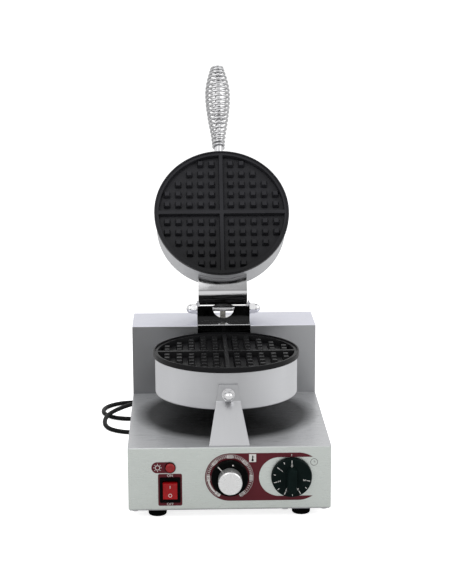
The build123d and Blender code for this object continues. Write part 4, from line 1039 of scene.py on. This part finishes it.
class WAFFLE_OT_label_print(bpy.types.Operator):
    """Prints the heat scale, the signs and the words ON and OFF on the labels"""

    bl_idname = "waffle.label_print"
    bl_label = "Label print"

    bearings = (-145, -92, -45, 0, 45, 92, 145)
    figures = ("0", "50", "100", "150", "200", "250", "300")
    ring = (0.02885, 0.02915)
    rising_band = (0.0251, 0.0276)
    box_radius, box_size = 0.0262, (0.0072, 0.0038)
    mark_radius, mark_size, marks_between = 0.0264, (0.0008, 0.0030), 6
    figure_height, word_height = 0.0036, 0.0048
    heat_sign = (0.0281, 0.0783)
    heat_sign_size = (0.0086, 0.0102)
    lamp_sign_x = -0.0886
    clock_sign = (0.1037, 0.0722)
    timer_mark_z = 0.0816

    def execute(self, context):
        out = PANEL_Y - LABEL_FACE
        middle = on_panel(DIAL.x, DIAL.z, out)
        printed("heat_scale", lambda bm: self.scale(bm, middle), "marks", "base")
        above = middle @ Matrix.Translation((0, 0, sizes().print_depth))
        printed("heat_figures", lambda bm: self.numbers(bm, above), "film", "base")
        printed("panel_signs", lambda bm: self.signs(bm, out), "marks", "base")
        printed("thermometer_sign", lambda bm: self.thermometer(bm, out), "moulded", "base")
        printed("clock_sign", self.clock, "grey", "base")
        return {"FINISHED"}

    def scale(self, bm, middle):
        """The heat dial's ring, rising band, boxes and marks."""
        arc(bm, *self.ring, radians(-150), radians(300), middle, 96)
        arc(bm, *self.rising_band, radians(-136), radians(36), middle, 16)
        for bearing in self.bearings:
            bar(bm, *self.box_size, outwards(middle, radians(bearing), self.box_radius))
        clear_of_box = 8
        for low, high in zip(self.bearings[1:], self.bearings[2:]):
            for step in range(1, self.marks_between + 1):
                share = (step - 0.5) / self.marks_between
                bearing = low + clear_of_box + (high - low - 2 * clear_of_box) * share
                bar(bm, *self.mark_size, outwards(middle, radians(bearing), self.mark_radius))

    def numbers(self, bm, above):
        """The figures in the scale's boxes."""
        for bearing, figure in zip(self.bearings, self.figures):
            words(bm, figure, self.figure_height, outwards(above, radians(bearing), self.box_radius))

    def signs(self, bm, out):
        """The heat sign's white field, the switch's words, the lamp's sign and the timer's mark."""
        bar(bm, *self.heat_sign_size, on_panel(*self.heat_sign, out))
        words(bm, "ON", self.word_height, on_panel(SWITCH.x, SWITCH.z + 0.0183, out))
        words(bm, "OFF", self.word_height, on_panel(SWITCH.x, SWITCH.z - 0.0184, out))
        sun = on_panel(self.lamp_sign_x, LAMP.z, out)
        arc(bm, 0.0024, 0.0031, 0, 2 * pi, sun, 32)
        rays = 8
        for ray in range(rays):
            bar(bm, 0.0006, 0.0014, outwards(sun, 2 * pi * ray / rays, 0.0044))
        bar(bm, 0.0006, 0.0030, on_panel(TIMER.x, self.timer_mark_z, out))

    def thermometer(self, bm, out):
        """A small thermometer on the heat sign: its tube, its bulb and two marks."""
        place = on_panel(*self.heat_sign, out + sizes().print_depth)
        bar(bm, 0.0014, 0.0050, place @ Matrix.Translation((0, 0.0007, 0)))
        disc(bm, 0.0015, place @ Matrix.Translation((0, -0.0026, 0)))
        for up in (0.0022, 0.0008):
            bar(bm, 0.0010, 0.0005, place @ Matrix.Translation((0.0015, up, 0)))

    def clock(self, bm):
        """A clock's ring and two hands, beside the timer."""
        place = on_panel(*self.clock_sign)
        arc(bm, 0.0040, 0.0046, 0, 2 * pi, place, 40)
        bar(bm, 0.0006, 0.0022, place @ Matrix.Translation((0, 0.0011, 0)))
        bar(bm, 0.0018, 0.0006, place @ Matrix.Translation((0.0009, 0, 0)))


class WAFFLE_OT_dials(bpy.types.Operator):
    """Marks the heat dial's pointer and the timer's hours, and cuts the cap's grips"""

    bl_idname = "waffle.dials"
    bl_label = "Dials"

    heat_face, timer_face = 0.0081, 0.0071
    pointer_size, pointer_radius = (0.0011, 0.0068), 0.0182
    dot_bearing, dot_radius, dot_size = radians(12), 0.0180, 0.0009
    timer_steps, timer_step = 11, radians(26)
    timer_edge, long_mark, short_mark, mark_width = 0.0228, 0.0040, 0.0026, 0.0008
    figure_height, figure_radius = 0.0052, 0.0158
    grip_count, grip_width, grip_depth, grip_margin = 48, 0.0008, 0.0005, 0.0030

    def execute(self, context):
        heat = on_panel(DIAL.x, DIAL.z, self.heat_face)
        printed("heat_pointer", lambda bm: self.pointer(bm, heat), "marks", "thermostat_dial")
        timer = on_panel(TIMER.x, TIMER.z, self.timer_face)
        printed("timer_marks", lambda bm: self.minutes(bm, timer), "marks", "timer_dial")
        self.knurl()
        return {"FINISHED"}

    def pointer(self, bm, face):
        """The heat dial's line and dot."""
        bar(bm, *self.pointer_size, outwards(face, sizes().dial_pointer, self.pointer_radius))
        disc(bm, self.dot_size, outwards(face, self.dot_bearing, self.dot_radius))

    def minutes(self, bm, face):
        """Marks round the timer, every other one longer and with a figure."""
        for step in range(self.timer_steps):
            bearing = -step * self.timer_step
            numbered = step % 2 == 0
            length = self.long_mark if numbered else self.short_mark
            bar(bm, self.mark_width, length, outwards(face, bearing, self.timer_edge - length / 2))
            if numbered:
                words(bm, str(step // 2), self.figure_height, outwards(face, bearing, self.figure_radius))

    def knurl(self):
        """Fine grips round the metal cap of the heat dial."""
        bm = bmesh.new()
        low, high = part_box("thermostat_cap")
        radius = (high.x - low.x) / 2
        depth = high.y - low.y
        sunk = 0.00005
        behind = 0.0006
        for grip in range(self.grip_count):
            place = (
                Matrix.Translation((DIAL.x, (low.y + high.y) / 2 + behind, DIAL.z))
                @ Matrix.Rotation(2 * pi * grip / self.grip_count, 4, "Y")
                @ Matrix.Translation((radius - sunk, 0, 0))
                @ Matrix.Diagonal((self.grip_depth, depth - self.grip_margin, self.grip_width, 1))
            )
            bmesh.ops.create_cube(bm, size=1.0, matrix=place)
        piece("cap_grips", bm, "spun", "thermostat_dial")


class WAFFLE_OT_switch_marks(bpy.types.Operator):
    """Puts the marks I and O on the rocker"""

    bl_idname = "waffle.switch_marks"
    bl_label = "Switch marks"

    def execute(self, context):
        pivot = Vector(JOINTS["switch_rock"]["pos_m"])
        half_rock, face_lean, mark_rise, face_out = radians(8), radians(10.5), 0.0058, 0.00394
        tilt = Matrix.Translation(pivot) @ Matrix.Rotation(half_rock, 4, "X") @ Matrix.Translation(-pivot)
        lean = Matrix.Rotation(face_lean, 4, "X")
        top = tilt @ on_panel(SWITCH.x, SWITCH.z + mark_rise, face_out) @ lean
        foot = tilt @ on_panel(SWITCH.x, SWITCH.z - mark_rise, face_out) @ lean.inverted()

        def draw(bm):
            bar(bm, 0.0007, 0.0042, top)
            arc(bm, 0.0017, 0.0023, 0, 2 * pi, foot, 32)

        printed("switch_marks", draw, "marks", "rocker")
        return {"FINISHED"}


class WAFFLE_OT_screw_recesses(bpy.types.Operator):
    """Dark crosses on the heads of the screws, painted shade where their cross recesses are"""

    bl_idname = "waffle.screw_recesses"
    bl_label = "Screw recesses"

    def execute(self, context):
        low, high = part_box("rear_screws")
        bm = bmesh.new()
        head_radius, head_rise, middle_row, first_turn = 0.004, 0.00165, 0.0845, 0.3
        rows = (low.z + head_radius, middle_row, high.z - head_radius)
        for x in (low.x + head_radius, high.x - head_radius):
            for z in rows:
                for turn in (first_turn, first_turn + pi / 2):
                    place = (
                        Matrix.Translation((x, REAR_Y + head_rise, z))
                        @ Matrix.Rotation(turn, 4, "Y")
                        @ Matrix.Diagonal((0.0040, 0.0003, 0.0008, 1))
                    )
                    bmesh.ops.create_cube(bm, size=1.0, matrix=place)
        # Painted shade: thin slabs of dark steel stand where the recesses would hold shade.
        piece("screw_recesses", bm, "heater", "base")
        return {"FINISHED"}


FLOOR_REACH = 60.0
SKY_LIGHT = 0.62
LAMP_AIM = Vector((0, -0.05, 0.2))


class WAFFLE_OT_stage(bpy.types.Operator):
    """Pale floor, soft lamps and an even white sky"""

    bl_idname = "waffle.stage"
    bl_label = "Stage"

    def execute(self, context):
        bm = bmesh.new()
        bmesh.ops.create_grid(bm, x_segments=1, y_segments=1, size=FLOOR_REACH)
        mesh = bpy.data.meshes.new("floor")
        bm.to_mesh(mesh)
        bm.free()
        floor = bpy.data.objects.new("floor", mesh)
        context.scene.collection.objects.link(floor)
        mesh.materials.append(self.floor_finish())
        self.world(context.scene)
        self.lamp("front_softbox", (-0.9, -1.6, 1.9), 1.6, 17.0)
        self.lamp("right_softbox", (1.5, -0.7, 1.3), 1.2, 9.0)
        self.lamp("back_softbox", (0.2, 1.5, 1.9), 1.4, 8.0)
        context.scene.view_settings.view_transform = "Standard"
        return {"FINISHED"}

    def floor_finish(self):
        """White that glows to the camera alone, most near the stand, so no grey shadow is seen."""
        finish = Finish("floor_white", (0.86, 0.86, 0.86), 0.9, Specular_IOR_Level=0.0)
        finish.paint(finish.shade(finish.grain((3, 3, 3)), 0.99, 1.01))
        path = finish.add("ShaderNodeLightPath")
        finish.set_shader("Emission Color", (1, 1, 1, 1))
        place = finish.coordinates.outputs["Object"]
        away = finish.add("ShaderNodeVectorMath", {0: place}, operation="LENGTH")
        glow = finish.spread(away.outputs[1], low=0.85, high=0.60, start=0.16, end=0.50)
        seen = finish.add("ShaderNodeMath", {0: path.outputs["Is Camera Ray"], 1: glow}, operation="MULTIPLY")
        finish.put(finish.shader.inputs["Emission Strength"], seen.outputs[0])
        return finish.material

    def world(self, scene):
        """An even sky: full white to look at and in reflections, softer as light."""
        world = bpy.data.worlds.new("studio")
        scene.world = world
        world.use_nodes = True
        tree = world.node_tree
        sky = tree.nodes["Background"]
        path = tree.nodes.new("ShaderNodeLightPath")
        seen = tree.nodes.new("ShaderNodeMath")
        seen.operation = "MAXIMUM"
        tree.links.new(path.outputs["Is Camera Ray"], seen.inputs[0])
        tree.links.new(path.outputs["Is Glossy Ray"], seen.inputs[1])
        reach = tree.nodes.new("ShaderNodeMapRange")
        reach.inputs["To Min"].default_value = SKY_LIGHT
        reach.inputs["To Max"].default_value = 1.0
        tree.links.new(seen.outputs[0], reach.inputs["Value"])
        tree.links.new(reach.outputs[0], sky.inputs["Strength"])
        sky.inputs["Color"].default_value = (1, 1, 1, 1)

    def lamp(self, name, place, size, power):
        """A square lamp turned towards the waffle maker."""
        data = bpy.data.lights.new(name, "AREA")
        data.shape = "SQUARE"
        data.size = size
        data.energy = power
        lamp = bpy.data.objects.new(name, data)
        bpy.context.scene.collection.objects.link(lamp)
        aim = LAMP_AIM - Vector(place)
        lamp.matrix_world = Matrix.Translation(place) @ aim.to_track_quat("-Z", "Y").to_matrix().to_4x4()


OPERATORS = (
    WAFFLE_OT_camera,
    WAFFLE_OT_mains_lead,
    WAFFLE_OT_handle,
    WAFFLE_OT_hinge_sleeve,
    WAFFLE_OT_label_print,
    WAFFLE_OT_dials,
    WAFFLE_OT_switch_marks,
    WAFFLE_OT_screw_recesses,
    WAFFLE_OT_finishes,
    WAFFLE_OT_stage,
)


class WAFFLE_PT_panel(bpy.types.Panel):
    """The steps that dress the waffle maker, with its sizes and colours"""

    bl_idname = "WAFFLE_PT_panel"
    bl_label = "Round waffle maker"
    bl_space_type = "VIEW_3D"
    bl_region_type = "UI"
    bl_category = "Waffle maker"

    def draw(self, context):
        for operator in OPERATORS:
            self.layout.operator(operator.bl_idname)
        for group in (context.scene.waffle_sizes, context.scene.waffle_colours):
            for name in group.__annotations__:
                self.layout.prop(group, name)


CLASSES = (WaffleSizes, WaffleColours, *OPERATORS, WAFFLE_PT_panel)


def register():
    for kind in CLASSES:
        bpy.utils.register_class(kind)
    bpy.types.Scene.waffle_sizes = PointerProperty(type=WaffleSizes)
    bpy.types.Scene.waffle_colours = PointerProperty(type=WaffleColours)


def unregister():
    del bpy.types.Scene.waffle_colours
    del bpy.types.Scene.waffle_sizes
    for kind in reversed(CLASSES):
        bpy.utils.unregister_class(kind)


def main():
    """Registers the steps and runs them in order."""
    register()
    FINISHES.update(make_finishes())
    for operator in OPERATORS:
        group, name = operator.bl_idname.split(".")
        getattr(getattr(bpy.ops, group), name)()


if __name__ == "__main__":
    main()
